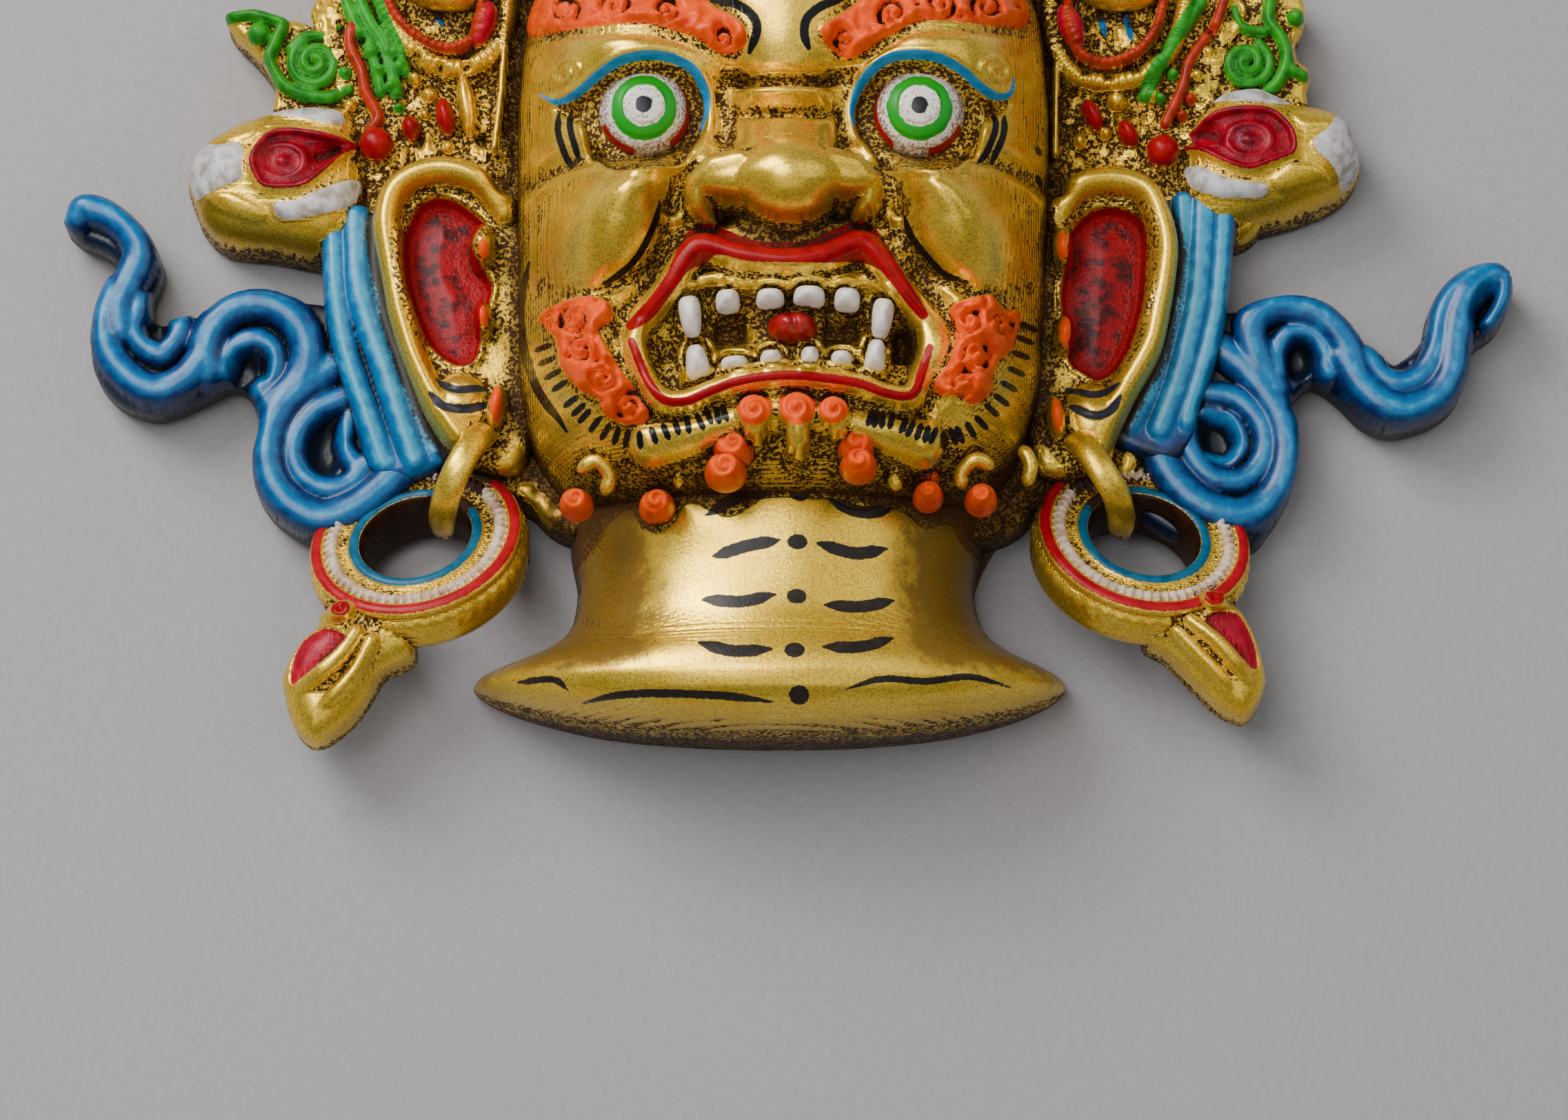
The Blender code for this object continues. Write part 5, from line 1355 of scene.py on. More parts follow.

# Ribbons
# Blue cloth ribbons from the temples: a pleated drape beside each ear and a tail curling outward, enamelled
# deep blue, with a painted highlight on the strands' tops and painted shade down their sides into the dark
# hollows. Cast in one with the backing.
RIBBONS = {
    "left_ribbon": {
        "outline": [
            (-99.5, 46.2), (-98.6, 48.8), (-96.4, 49.7), (-93.3, 48.8), (-89.9, 46.2), (-87.6, 43.5),
            (-86.2, 40.4), (-86.3, 38.1), (-87.4, 34.6), (-86.6, 31.9), (-84.3, 31.9), (-81.7, 32.7),
            (-79.5, 33.3), (-77.2, 35), (-73.5, 36), (-70.5, 35.8), (-67.9, 35), (-62, 34), (-54, 30),
            (-50, 20), (-45, 12), (-45, 8), (-52, 4), (-58, 1), (-63.7, 0.8), (-66.8, 1.9), (-69.8, 4),
            (-72.1, 7.1), (-72.8, 9.8), (-72.9, 12.9), (-72.3, 15.6), (-72.2, 17.9), (-72.9, 19.5),
            (-73.9, 21.8), (-76.2, 22.8), (-80, 21), (-83.3, 19.5), (-86.7, 18.7), (-90.8, 19.9),
            (-93.5, 22.2), (-95.1, 24.9), (-95.7, 28.4), (-95.2, 33.1), (-94.2, 36.2), (-93.1, 38.5),
            (-92.6, 40.4), (-94.3, 42), (-97.3, 43.3), (-99.4, 45.1),
        ],
        "strands": [
            ([(-98.4, 46.2, 11.6), (-96.6, 47.6, 12.2), (-92.3, 46.2, 12.2), (-89.6, 43.2, 12.2),
              (-89.2, 40.1, 12), (-90.6, 36.6, 12), (-91.8, 33.6, 11.8), (-91.4, 30.4, 11.8)], 2.5),
            ([(-92.9, 36.0, 11.4), (-93.7, 31.4, 11.6), (-92.6, 26.5, 11.8), (-89.1, 22.7, 12),
              (-85.7, 21.7, 12), (-82.3, 23.3, 12), (-79.8, 26.4, 12)], 2.3),
            ([(-88.6, 34.2, 11.2), (-89.6, 30.7, 11.4), (-88.3, 28.1, 11.4), (-85.6, 26.8, 11.4),
              (-83.4, 29.4, 11.2), (-83.2, 31.4, 11)], 1.8),
            ([(-79.4, 24.5, 11.6), (-79.6, 28, 12), (-77.6, 31.8, 12.4), (-74, 33.8, 12.4),
              (-69.9, 33.4, 12.4), (-66.6, 30.4, 12.2), (-65.6, 26.5, 12), (-67, 22.6, 11.6),
              (-70.4, 19.6, 11.2)], 2.6),
            ([(-77.2, 24.4, 11), (-75.6, 27.6, 11.2), (-72.8, 28.9, 11.4), (-70.4, 27.4, 11.2),
              (-70.2, 24.4, 11), (-72.2, 21.6, 10.8)], 1.7),
            ([(-62.3, 25.1, 11), (-66.3, 22, 11.4), (-69.6, 18.4, 11.8), (-70.9, 13.6, 12),
              (-70.2, 8.9, 12), (-67.2, 5.2, 12), (-63, 3.6, 12), (-58.3, 5.3, 11.8), (-53.6, 9.4, 11.4),
              (-50, 13, 11)], 2.6),
            ([(-60.4, 20.8, 10.8), (-64.6, 18.6, 11), (-67.2, 14.6, 11), (-66.6, 10.4, 11),
              (-63.2, 8.0, 11), (-59.8, 8.4, 10.8), (-57.2, 11.4, 10.6)], 1.8),
            ([(-59.4, 18.4, 10), (-60.6, 14.4, 10.4), (-58.8, 11.2, 10.4)], 1.5),
        ],
        "hollows": [
            ((-62.9, 13.7), (2.0, 3.6), -6), ((-74.2, 24.6), (2.3, 2.2), 0), ((-86.6, 30.2), (1.6, 1.5), 0),
            ((-71.4, 25), (0.8, 1.8), 0),
        ],
        "floor": 8.4,
    },
    "right_ribbon": {
        "outline": [
            (54, 30), (57, 32.6), (60.8, 33.4), (63, 33.6), (65.4, 34.4), (70.3, 35.1), (74.5, 34),
            (78, 31.1), (80.5, 28.2), (83.6, 26.4), (85.7, 27.1), (87.8, 29.6), (88.9, 33.7), (91, 37),
            (93.8, 39.1), (97, 40), (99.4, 39.5), (100.3, 37.7), (99.8, 34), (98, 30.8), (94.9, 28.2),
            (94.2, 25), (92.7, 21.3), (90.6, 18.8), (87.1, 17), (82.9, 16.3), (79.4, 17.7), (76.5, 20.6),
            (74.4, 22.4), (72.3, 23.2), (70.4, 21.6), (69.5, 19.5), (70.3, 17), (70.3, 12), (69.8, 9),
            (68.5, 6.1), (66.3, 2.6), (63.5, 0), (56, 0), (50, 3), (44, 8), (44, 12), (50, 20),
        ],
        "strands": [
            ([(50, 16.5, 11), (52.2, 10.4, 11.6), (56.3, 5.8, 12), (62, 4, 12), (66.6, 6.6, 12),
              (68.6, 11.6, 12), (68.2, 16.6, 11.8), (66.2, 20.8, 11.6), (63.2, 24.8, 11.4), (60, 27.6, 11)],
              2.5),
            ([(54.8, 18.4, 10.8), (55.2, 13.4, 11), (58, 9.6, 11.2), (62.1, 8.9, 11.2), (65.3, 12, 11.2),
              (65.2, 16.6, 11.2), (62, 20.4, 11), (58, 21.4, 10.8)], 1.8),
            ([(57.6, 18.6, 10.2), (60.8, 17.4, 10.6), (62.4, 14.4, 10.6), (60.8, 11.9, 10.4),
              (58, 12.2, 10.2)], 1.3),
            ([(67.0, 21.6, 11.2), (64.6, 26.6, 11.8), (63.9, 30.8, 12.2), (66.4, 33.2, 12.4),
              (70.2, 33.2, 12.4), (74, 31.8, 12.4), (76.9, 28.1, 12), (78, 24.3, 11.8)], 2.4),
            ([(67.4, 24, 10.8), (67.6, 27.6, 11), (69.6, 29.8, 11.2), (72.4, 29.6, 11.2), (74.2, 27, 11),
              (74.4, 24, 10.8)], 1.5),
            ([(76.7, 26.3, 11.8), (78.9, 22.5, 12), (81.9, 19.6, 12.2), (85.5, 18.8, 12.2),
              (89.0, 20.4, 12.2), (91.3, 23.6, 12.2), (92, 28, 12), (92.8, 32.4, 11.8), (94.4, 35.6, 11.8),
              (97.4, 38, 11.6)], 2.4),
            ([(80.0, 26.6, 11), (81.7, 23.9, 11.2), (84.4, 22.6, 11.4), (87.4, 23.9, 11.4),
              (89.4, 27.2, 11.4), (89.6, 31, 11.2), (90.9, 34.6, 11.2), (93.4, 37.4, 11.2), (96.2, 39, 11)],
              1.9),
            ([(96.8, 31.2, 11), (98.8, 34.6, 11.4), (99, 37.6, 11.4)], 1.3),
        ],
        "hollows": [
            ((59.4, 15.0), (2.2, 3.4), 10), ((70.6, 26.2), (1.7, 2.4), 0), ((84, 25.6), (1.3, 1.0), 0),
            ((95.9, 33.9), (1.3, 3.0), -25),
        ],
        "floor": 8.4,
    },
    "left_drape": {
        "outline": [
            (-64.6, 47), (-63.9, 42), (-63.6, 36.2), (-63, 30), (-61.6, 24.9), (-60, 20), (-58.4, 14.5),
            (-56.6, 10), (-50, 9), (-44, 13), (-47.0, 16.8), (-49.2, 23.8), (-51.4, 30), (-52.8, 36.2),
            (-53.4, 42), (-53.4, 47),
        ],
        "strands": [
            ([(-62.4, 46, 13.2), (-61.9, 36.2, 13.6), (-61, 30, 13.4), (-59.7, 24.5, 13.2),
              (-57.2, 17.6, 13), (-54.8, 11.1, 12)], 1.9),
            ([(-59.2, 46, 13.6), (-58.6, 36.2, 14), (-57, 30, 14), (-55, 24.5, 13.8), (-53, 18.3, 13.4),
              (-50.6, 11.5, 12.4)], 2.0),
            ([(-56.6, 45, 12.8), (-56, 36.2, 13.2), (-54.6, 30.4, 13.2), (-52.4, 24.3, 13),
              (-50.2, 17.6, 12.6), (-48, 12.9, 12)], 1.6),
        ],
        "hollows": [],
        "floor": 11.6,
    },
    "right_drape": {
        "outline": [
            (61.8, 49), (61.6, 40.5), (61.0, 35), (60.2, 29.3), (59, 25), (57.6, 21.3), (56.4, 18),
            (55.6, 14), (52, 11), (43, 15), (45.6, 20.7), (47.8, 26.1), (49.8, 32.2), (50.8, 38.8),
            (51.4, 49),
        ],
        "strands": [
            ([(60.4, 48, 13), (60, 40.6, 13.4), (59.4, 34.3, 13.4), (58.3, 28.4, 13.2), (56.8, 23.1, 13),
              (55, 17, 12.4)], 1.7),
            ([(57.7, 48, 13.6), (57.2, 40.6, 14), (56.4, 33.3, 14), (55.1, 27.9, 13.8), (53.5, 22.1, 13.4),
              (51.2, 16, 12.6)], 1.9),
            ([(55, 48, 13), (54.8, 38.8, 13.4), (53.7, 32.2, 13.4), (51.8, 26.1, 13.2), (49.6, 20.7, 12.8),
              (47.2, 16.1, 12.2)], 1.6),
        ],
        "hollows": [],
        "floor": 11.6,
    },
}


def ribbon_material():
    """Deep blue enamel with a painted highlight on the strands' tops and painted shade down their sides,
    near black in the hollows, with worn spots.
    """
    material, tree, shader = new_material("ribbon_enamel", 0.3)
    fine = noise(tree, 2600.0, 4.0, 0.65)
    middle = noise(tree, 520.0, 3.0)
    # Painted highlight and shade across each strand: pale cyan on its top, deep blue lower down, near-black
    # navy at its sides and on the floor between strands.
    crest = calc(tree, "ADD", attribute(tree, "crest"),
                 sway(tree, middle, 1.1))
    colour = mix_colour(tree, steps(tree, crest, 0.1, 0.9), srgb(4, 92, 142), srgb(0, 38, 86))
    colour = mix_colour(tree, steps(tree, crest, -0.25, 0.2), srgb(40, 136, 168), colour)
    colour = mix_colour(tree, steps(tree, crest, 0.85, 1.3), colour, srgb(2, 20, 44))
    hollow = calc(tree, "ADD", calc(tree, "MULTIPLY", attribute(tree, "hollow"), 0.8),
                  sway(tree, fine, 2.2))
    dirt = steps(tree, hollow, 0.35, 0.95)
    colour = mix_colour(tree, dirt, colour, srgb(8, 16, 24))
    chip = steps(tree, noise(tree, 1700.0, 4.0, 0.7), 0.70, 0.73)
    colour = mix_colour(tree, calc(tree, "MULTIPLY", chip, 0.7), colour, srgb(50, 52, 52))
    tree.links.new(colour, shader.inputs["Base Color"])
    tree.links.new(mix_value(tree, dirt, 0.27, 0.5), shader.inputs["Roughness"])
    shader.inputs["Specular IOR Level"].default_value = 0.3
    shader.inputs["Coat Weight"].default_value = 0.12
    shader.inputs["Coat Roughness"].default_value = 0.2
    bump(tree, shader, calc(tree, "ADD", middle, calc(tree, "MULTIPLY", fine, 0.3)), 0.00015, 0.45)
    return material


def make_ribbons():
    """Ribbon sheets: half-round strands over a low floor, with dished hollows between them."""
    material = ribbon_material()
    for name, shape in RIBBONS.items():
        def height(x, y, shape=shape):
            z = np.full(len(x), shape["floor"])
            for line, half_width in shape["strands"]:
                z = raise_rope(x, y, z, line, half_width, half_width * 0.8, 0.35)
            for centre, half, turn in shape["hollows"]:
                u, v = in_oval(x, y, centre, half, turn)
                r = u ** 2 + v ** 2
                z = z - 2.2 * np.exp(-r * r)
            return z

        def marks(x, y, shape=shape, name=name):
            # crest: distance to the nearest strand's middle in half widths; the material paints a highlight
            # where it is small and shade where it is large, and the drapes are shifted towards more
            # highlight.
            crest = np.full(len(x), 2.0)
            for line, half_width in shape["strands"]:
                path = curve(line, 0.6)
                crest = np.minimum(crest, nearest(x, y, path)[0] / half_width)
            return {"crest": 0.75 * crest - 0.3 if "drape" in name else crest}

        tall = "drape" in name
        relief_piece(name, shape["outline"], 0.33, height, marks, material, 1.7,
                     6.0 if tall else 2.5)


make_ribbons()

# Temple flowers
# Lotus buds at both temples, seen from the side: magenta heart, white and gold petals, white tip, with the
# curled green leaf above each. Cast in one with the backing.
BUDS = {
    "left_bud": {
        "outline": [
            (-59.5, 62), (-63.2, 62.6), (-67.2, 62.4), (-71, 61.8), (-76.3, 59.9), (-80.3, 57.2),
            (-82.5, 54.4), (-82.8, 51.2), (-81.9, 48.2), (-80.4, 45.2), (-77.2, 42.7), (-70.6, 41.8),
            (-63.3, 40.6), (-59, 43), (-57.6, 48), (-57.6, 56),
        ],
        "heart": [
            (-57.5, 55.4), (-60.2, 53.9), (-63.1, 50.8), (-65.9, 48.6), (-69.6, 48.2), (-72.2, 48.9),
            (-73.7, 52), (-73, 54.6), (-70.8, 56.9), (-67.9, 57.3), (-63.9, 56.7), (-60.2, 56.0),
        ],
        "white": [
            [(-82.4, 52), (-81.9, 54.6), (-80.3, 56.5), (-78.5, 55.6), (-74.8, 55.2), (-74.5, 52),
              (-74.7, 49.9), (-78, 48.7), (-80.9, 48.2), (-82, 49.7)],
            [(-71.6, 60.7), (-67.2, 61.9), (-63.2, 61.3), (-61, 59.9), (-60.8, 58.2), (-62.4, 57.9),
              (-66.1, 58.8), (-69.4, 59.6)],
            [(-70.1, 46.8), (-67, 47.2), (-63, 49.0), (-59, 50.8), (-58.3, 49.7), (-59.7, 46.8),
              (-62.6, 45.3), (-67, 44.5), (-69.9, 44.9)],
        ],
        "gold": [
            [(-80, 56.9), (-76.3, 58.8), (-71.6, 60), (-70.9, 59.2), (-72.6, 56.5), (-74.8, 55.4),
              (-78.1, 55.8)],
            [(-80.1, 48.2), (-76.1, 48.2), (-72.1, 46.3), (-71, 44.8), (-73.2, 44.4), (-77.9, 45.9)],
        ],
        "spine": (-69, 52.5),
    },
    "right_bud": {
        "outline": [
            (56.4, 61), (59, 63.4), (61.4, 64.7), (65.3, 65.2), (68, 64.2), (71, 62.8), (73.6, 62.4),
            (76.4, 61.4), (78.9, 59.1), (79.8, 55), (79.2, 52.2), (76.5, 49.3), (71.2, 47), (65.7, 45.4),
            (60.5, 43.8), (56, 45), (53.6, 50), (54.4, 56),
        ],
        "heart": [
            (54.6, 57.3), (56.6, 58.4), (58.8, 60), (62.3, 60.5), (66.7, 60.3), (69.2, 58.2), (70.3, 55.8),
            (70, 53.4), (67.6, 52.3), (63.6, 51.0), (60.3, 51.9), (56.6, 54.2), (54.6, 55.2),
        ],
        "white": [
            [(58.7, 62.3), (61.1, 64.2), (65.3, 64.8), (67.9, 63.7), (70.1, 62.1), (68.1, 61.2), (63, 61.3),
              (60.3, 61.9)],
            [(76.5, 60.4), (78.4, 59.2), (79.5, 55.8), (79.4, 53.3), (78.3, 51.1), (76.7, 50), (75.4, 52),
              (72.3, 55), (74.8, 57.9)],
            [(54.8, 52.4), (57, 52.2), (60.6, 50.3), (66.1, 49.5), (65.8, 48), (62.1, 47.5), (59.3, 47.6),
              (56, 49.2)],
        ],
        "gold": [
            [(70, 62.1), (74, 61.7), (76.5, 60.3), (75, 57.9), (71.4, 57.3), (69.6, 59.2)],
            [(70.2, 52.5), (73.1, 52), (75.1, 50.5), (73, 49.7), (67.9, 48.6), (66.5, 50.1), (68.7, 52)],
        ],
        "spine": (63.7, 55.6),
    },
}
LEAVES = {
    "left_leaf": {
        "outline": [(-77.9, 75.7), (-74.4, 76.4), (-70.4, 75.2), (-67.4, 74.8), (-64.5, 73.4),
                    (-62.7, 74), (-61, 77), (-57, 78), (-56, 70), (-57, 62), (-63, 60),
                    (-70.5, 60.7), (-70.9, 64.9), (-72.1, 67.9), (-74.3, 70.6), (-76.9, 73.3)],
        "stems": [([(-77.2, 75.2, 11.4), (-73.4, 75.2, 12.4), (-70, 74, 12.4), (-70.7, 71.4, 12.4),
                    (-71.6, 68.4, 12.6), (-70.1, 65.6, 12.6), (-67.6, 63.9, 12.4),
                    (-63.4, 63.2, 12.2), (-60.6, 64.4, 12)], 1.0),
                  ([(-62.0, 73.4, 11.6), (-63.8, 72.2, 12), (-66.6, 72.0, 12.2),
                    (-68.6, 70.2, 12.2)], 0.9)],
        "curl": ((-65.1, 68), 3.6, 1.9, 120, 1), "ball": (-73.1, 72.5), "ball_half": 1.7,
    },
    "right_leaf": {
        "outline": [(72.4, 76.8), (72.2, 74), (71, 71.6), (71.3, 69.2), (72.5, 68.2),
                    (73, 66.6), (72.4, 64.6), (72, 61.6), (66, 61), (57, 62), (58, 70),
                    (60, 80), (66, 82), (71, 80)],
        "stems": [([(67.6, 78.3, 12), (67.2, 74.4, 12.4), (68.9, 71.6, 12.6), (69.5, 68.6, 12.6),
                    (68.3, 65.5, 12.4), (66.2, 63.6, 12)], 1.0),
                  ([(71.8, 66.4, 12), (70.2, 67.2, 12.2), (69.6, 69.4, 12.2)], 0.9),
                  ([(62.4, 76, 12), (63.4, 73.4, 12.2), (66.4, 72.6, 12.2)], 0.8)],
        "curl": ((63.9, 67.9), 3.5, 1.9, 60, -1), "ball": (70.9, 74.8), "ball_half": 1.3,
    },
}


def make_buds():
    """Bud sheets: one rounded body, petals raised over it with thin gold lips, and a ringed heart."""
    material = paint_material("bud_paint", [
        ("white", srgb(186, 184, 186), srgb(138, 126, 112), 0.5),
        ("heart", srgb(138, 2, 26), srgb(90, 4, 18), 0.4)])
    for name, shape in BUDS.items():
        def height(x, y, shape=shape):
            d = area_distance(x, y, shape["outline"], 12.0)
            z = 10.4 + 5.6 * shoulder(d, 9.5)
            for outline in shape["white"] + shape["gold"]:
                z = z + 0.7 * shoulder(area_distance(x, y, outline), 1.2)
            d = area_distance(x, y, shape["heart"])
            z = z + 1.5 * np.exp(-((d + 0.5) / 0.75) ** 2) * (d < 3) - 0.4 * (d < -0.9)
            cx, cy = shape["spine"]
            ring = np.hypot((x - cx) / 3.2, (y - cy) / 2.5)
            z = z + 1.0 * np.exp(-((ring - 0.95) / 0.28) ** 2) + 1.2 * np.exp(-(ring / 0.5) ** 2)
            far_x = cx + (8 if cx < 0 else -7)
            z = cut_line(x, y, z, [(cx * 0.5 + far_x * 0.5, cy + 0.6), (far_x, cy + 2.2)], 0.9, 1.4)
            return z

        def marks(x, y, shape=shape):
            white = np.full(len(x), FAR)
            for outline in shape["white"]:
                white = np.minimum(white, area_distance(x, y, outline))
            return {"white": white + 0.1, "heart": area_distance(x, y, shape["heart"]) + 0.15}

        relief_piece(name, shape["outline"], 0.3, height, marks, material, 4.5, 1.2)


def make_leaves():
    """Leaf sheets: green stems and a spiral scroll over a dark gold ground."""
    material = paint_material("leaf_paint", [("green", srgb(40, 132, 24), srgb(20, 96, 20), 0.5)],
                              patina=1.3)
    for name, shape in LEAVES.items():
        centre, radius, turns, start, hand = shape["curl"]
        scroll = spiral(centre, radius, turns, start, hand)
        scroll = np.column_stack([scroll, np.linspace(12.2, 13.2, len(scroll))])

        def height(x, y, shape=shape, scroll=scroll):
            z = np.full(len(x), 10.2)
            z = raise_rope(x, y, z, scroll, 0.85, 1.6, 0.3)
            for line, half_width in shape["stems"]:
                z = raise_rope(x, y, z, line, half_width, 1.8, 0.3)
            half = shape["ball_half"]
            return raise_ball(x, y, z, shape["ball"], (half, half), 0, 12.6, 2, 0.3)

        def marks(x, y, shape=shape, scroll=scroll):
            green = nearest(x, y, curve(scroll, 0.5))[0] - 0.8
            for line, half_width in shape["stems"]:
                green = np.minimum(green, nearest(x, y, curve(line, 0.5))[0] - half_width)
            ball = np.hypot(x - shape["ball"][0], y - shape["ball"][1]) - shape["ball_half"]
            return {"green": np.minimum(green, ball)}

        relief_piece(name, shape["outline"], 0.28, height, marks, material, 1.4, 1.2)


make_buds()
make_leaves()

# Temple ornaments
# Beaded frames, petals, hanging drops and bead strings between each ear and bud, on the granular backing.
TEMPLES = {
    "left_temple": {
        "outline": [(-64, 78), (-63, 68), (-61, 60), (-58, 50), (-56, 42), (-46, 46), (-34, 42), (-34, 78)],
        "ropes": [
            ([(-57.4, 80, 15), (-55.2, 74.4, 15), (-53.0, 70.6, 15.4), (-50.6, 68.4, 15.6),
              (-48.2, 67.0, 15.8), (-45.6, 66.4, 15.8), (-42.8, 67.1, 15.6), (-40.3, 69.2, 15.4),
              (-38.7, 73.0, 15), (-38.0, 80, 15)], 1.25, "gold"),
            ([(-55.9, 80, 15.6), (-54.4, 74.8, 16), (-52.2, 71.9, 16.2), (-49.7, 70.0, 16.4),
              (-47.5, 69.1, 16.4), (-45.4, 69.1, 16.4), (-43.6, 70.2, 16.2), (-42.4, 72.4, 16),
              (-41.8, 80, 15.6)], 0.7, "coral"),
            ([(-60.4, 72.5, 13.6), (-60.1, 69.5, 13.8), (-58.6, 66.4, 14), (-58.2, 63.8, 14),
              (-57, 61.6, 14), (-56.2, 59.6, 14), (-57.3, 57.9, 14)], 0.85, "coral"),
            ([(-58.9, 76.4, 14), (-57.6, 73.4, 14.4), (-55.8, 70.6, 14.4), (-54.6, 67, 14.2),
              (-53.8, 63.4, 13.8)], 1.0, "green"),
            ([(-60.9, 76.4, 13.8), (-59.4, 72.8, 14.2), (-57.6, 69.8, 14.2), (-56.6, 66.4, 14),
              (-56.0, 63.6, 13.6)], 0.9, "green"),
            ([(-56.9, 77.4, 14), (-55.2, 72.8, 14.4), (-53.6, 69.4, 14.4), (-52.6, 66.2, 14.2)], 0.8,
              "green"),
            ([(-38.4, 77, 15), (-38.8, 70, 15.4), (-39.3, 62, 15.6), (-40.1, 55, 15)], 0.45, "gold"),
        ],
        "balls": [
            ((-56.4, 55.6), (2.35, 2.3), 0, 16.6, "red"), ((-51.7, 58.3), (1.3, 1.7), 15, 14.8, "red"),
            ((-47, 59.9), (1.25, 2.7), 12, 15.2, "red"), ((-44.1, 61.6), (1.25, 4.4), 8, 15.4, "gold"),
            ((-41.7, 72.4), (1.7, 3.4), -18, 18, "pink"), ((-57.4, 68.9), (1.1, 1.1), 0, 15, "green"),
            ((-54.2, 68.9), (1.1, 1.1), 0, 15.2, "green"), ((-53.3, 66.9), (1.0, 1.0), 0, 15, "green"),
            ((-56.1, 66.4), (1.0, 1.0), 0, 14.8, "green"), ((-54.5, 64.2), (0.9, 0.9), 0, 14.6, "green"),
            ((-53.4, 61.1), (0.8, 0.8), 0, 14.2, "green"), ((-51.3, 65.3), (1.0, 1.0), 0, 14.4, "gold"),
            ((-49.3, 63), (1.2, 1.2), 0, 14.2, "gold"), ((-49.8, 60.2), (0.8, 0.8), 0, 13.8, "gold"),
            ((-60.2, 61.6), (1.1, 1.1), 0, 13.6, "gold"), ((-46.6, 55.7), (0.9, 1.2), 0, 13.2, "gold"),
            ((-61.0, 66.4), (1.0, 1.0), 0, 13.4, "green"), ((-59.6, 74.6), (1.1, 1.1), 0, 14, "green"),
        ],
        "pits": [
            (-44.2, 68.3), (-44.0, 66.4), (-47.7, 66.2), (-51.0, 68.0), (-50.4, 57.2), (-58.6, 70.8),
            (-42.2, 57),
        ],
        "strokes": [[(-48.6, 77.5), (-48.3, 75), (-47.6, 73.4)], [(-46.4, 78), (-46.2, 75.4)]],
    },
    "right_temple": {
        "outline": [(32, 78), (32, 42), (42, 46), (53, 42), (56, 50), (58.6, 60), (61, 68), (62, 78)],
        "ropes": [
            ([(36.9, 80, 15), (36.7, 73, 15), (37.8, 68.4, 15.4), (40.2, 65.4, 15.6), (44.3, 64.3, 15.8),
              (48.4, 65.1, 15.6), (52.0, 67.6, 15.4), (54.4, 71.8, 15.2), (56.2, 80, 15)], 1.25, "gold"),
            ([(39.4, 80, 15.6), (39.0, 73.7, 16), (39.5, 70.4, 16.2), (41.2, 67.9, 16.4),
              (44.2, 66.9, 16.4), (47.4, 67.8, 16.4), (49.8, 69.8, 16.2), (51.6, 73.0, 16),
              (53.2, 80, 15.6)], 0.7, "coral"),
            ([(60.9, 77, 13.4), (59.6, 73.2, 13.6), (57.7, 70.6, 13.8), (55.8, 67.6, 14), (55, 64.5, 14),
              (53.9, 61.9, 14), (52.4, 58.8, 14)], 0.75, "coral"),
            ([(57.6, 76.5, 14), (55.4, 73, 14.4), (52.9, 69.2, 14.4), (51, 65.7, 14.2), (49.6, 62.8, 13.8)],
              1.0, "green"),
            ([(37.4, 69, 15), (37.3, 62, 15.4), (37.1, 54, 15)], 0.45, "gold"),
        ],
        "balls": [
            ((52, 54.6), (2.3, 2.25), 0, 16.6, "red"), ((47.3, 57.5), (1.3, 2.1), 25, 14.8, "red"),
            ((42.4, 60), (1.2, 2.5), 25, 15.2, "red"), ((39.4, 72.2), (1.7, 3.3), 18, 18, "pink"),
            ((45.7, 62.1), (1.5, 1.5), 0, 14.6, "gold"), ((50.8, 63), (1.1, 1.1), 0, 14.2, "gold"),
            ((53.6, 66.0), (0.9, 0.9), 0, 14.4, "green"), ((51.8, 62.6), (0.8, 0.8), 0, 14, "green"),
            ((48.4, 64.4), (0.9, 0.9), 0, 14.2, "gold"), ((44.2, 57.6), (1.0, 1.0), 0, 13.6, "gold"),
            ((56.9, 66), (1.0, 1.0), 0, 13.6, "gold"), ((58.6, 69.3), (1.0, 1.0), 0, 13.6, "gold"),
            ((56, 62.6), (0.9, 0.9), 0, 13.6, "coral"), ((40.6, 56.6), (0.9, 1.3), 0, 13.4, "gold"),
            ((54.8, 60.2), (0.9, 0.9), 0, 13.6, "coral"),
        ],
        "pits": [(41.4, 65.8), (44.6, 65.0), (48.4, 66.2), (51.6, 69.2), (59, 72.3), (47.6, 60.6)],
        "strokes": [[(43.4, 77.3), (43.8, 74.4), (44.4, 72.1)], [(46.8, 77.3), (47.3, 74.4), (48, 71)]],
    },
}


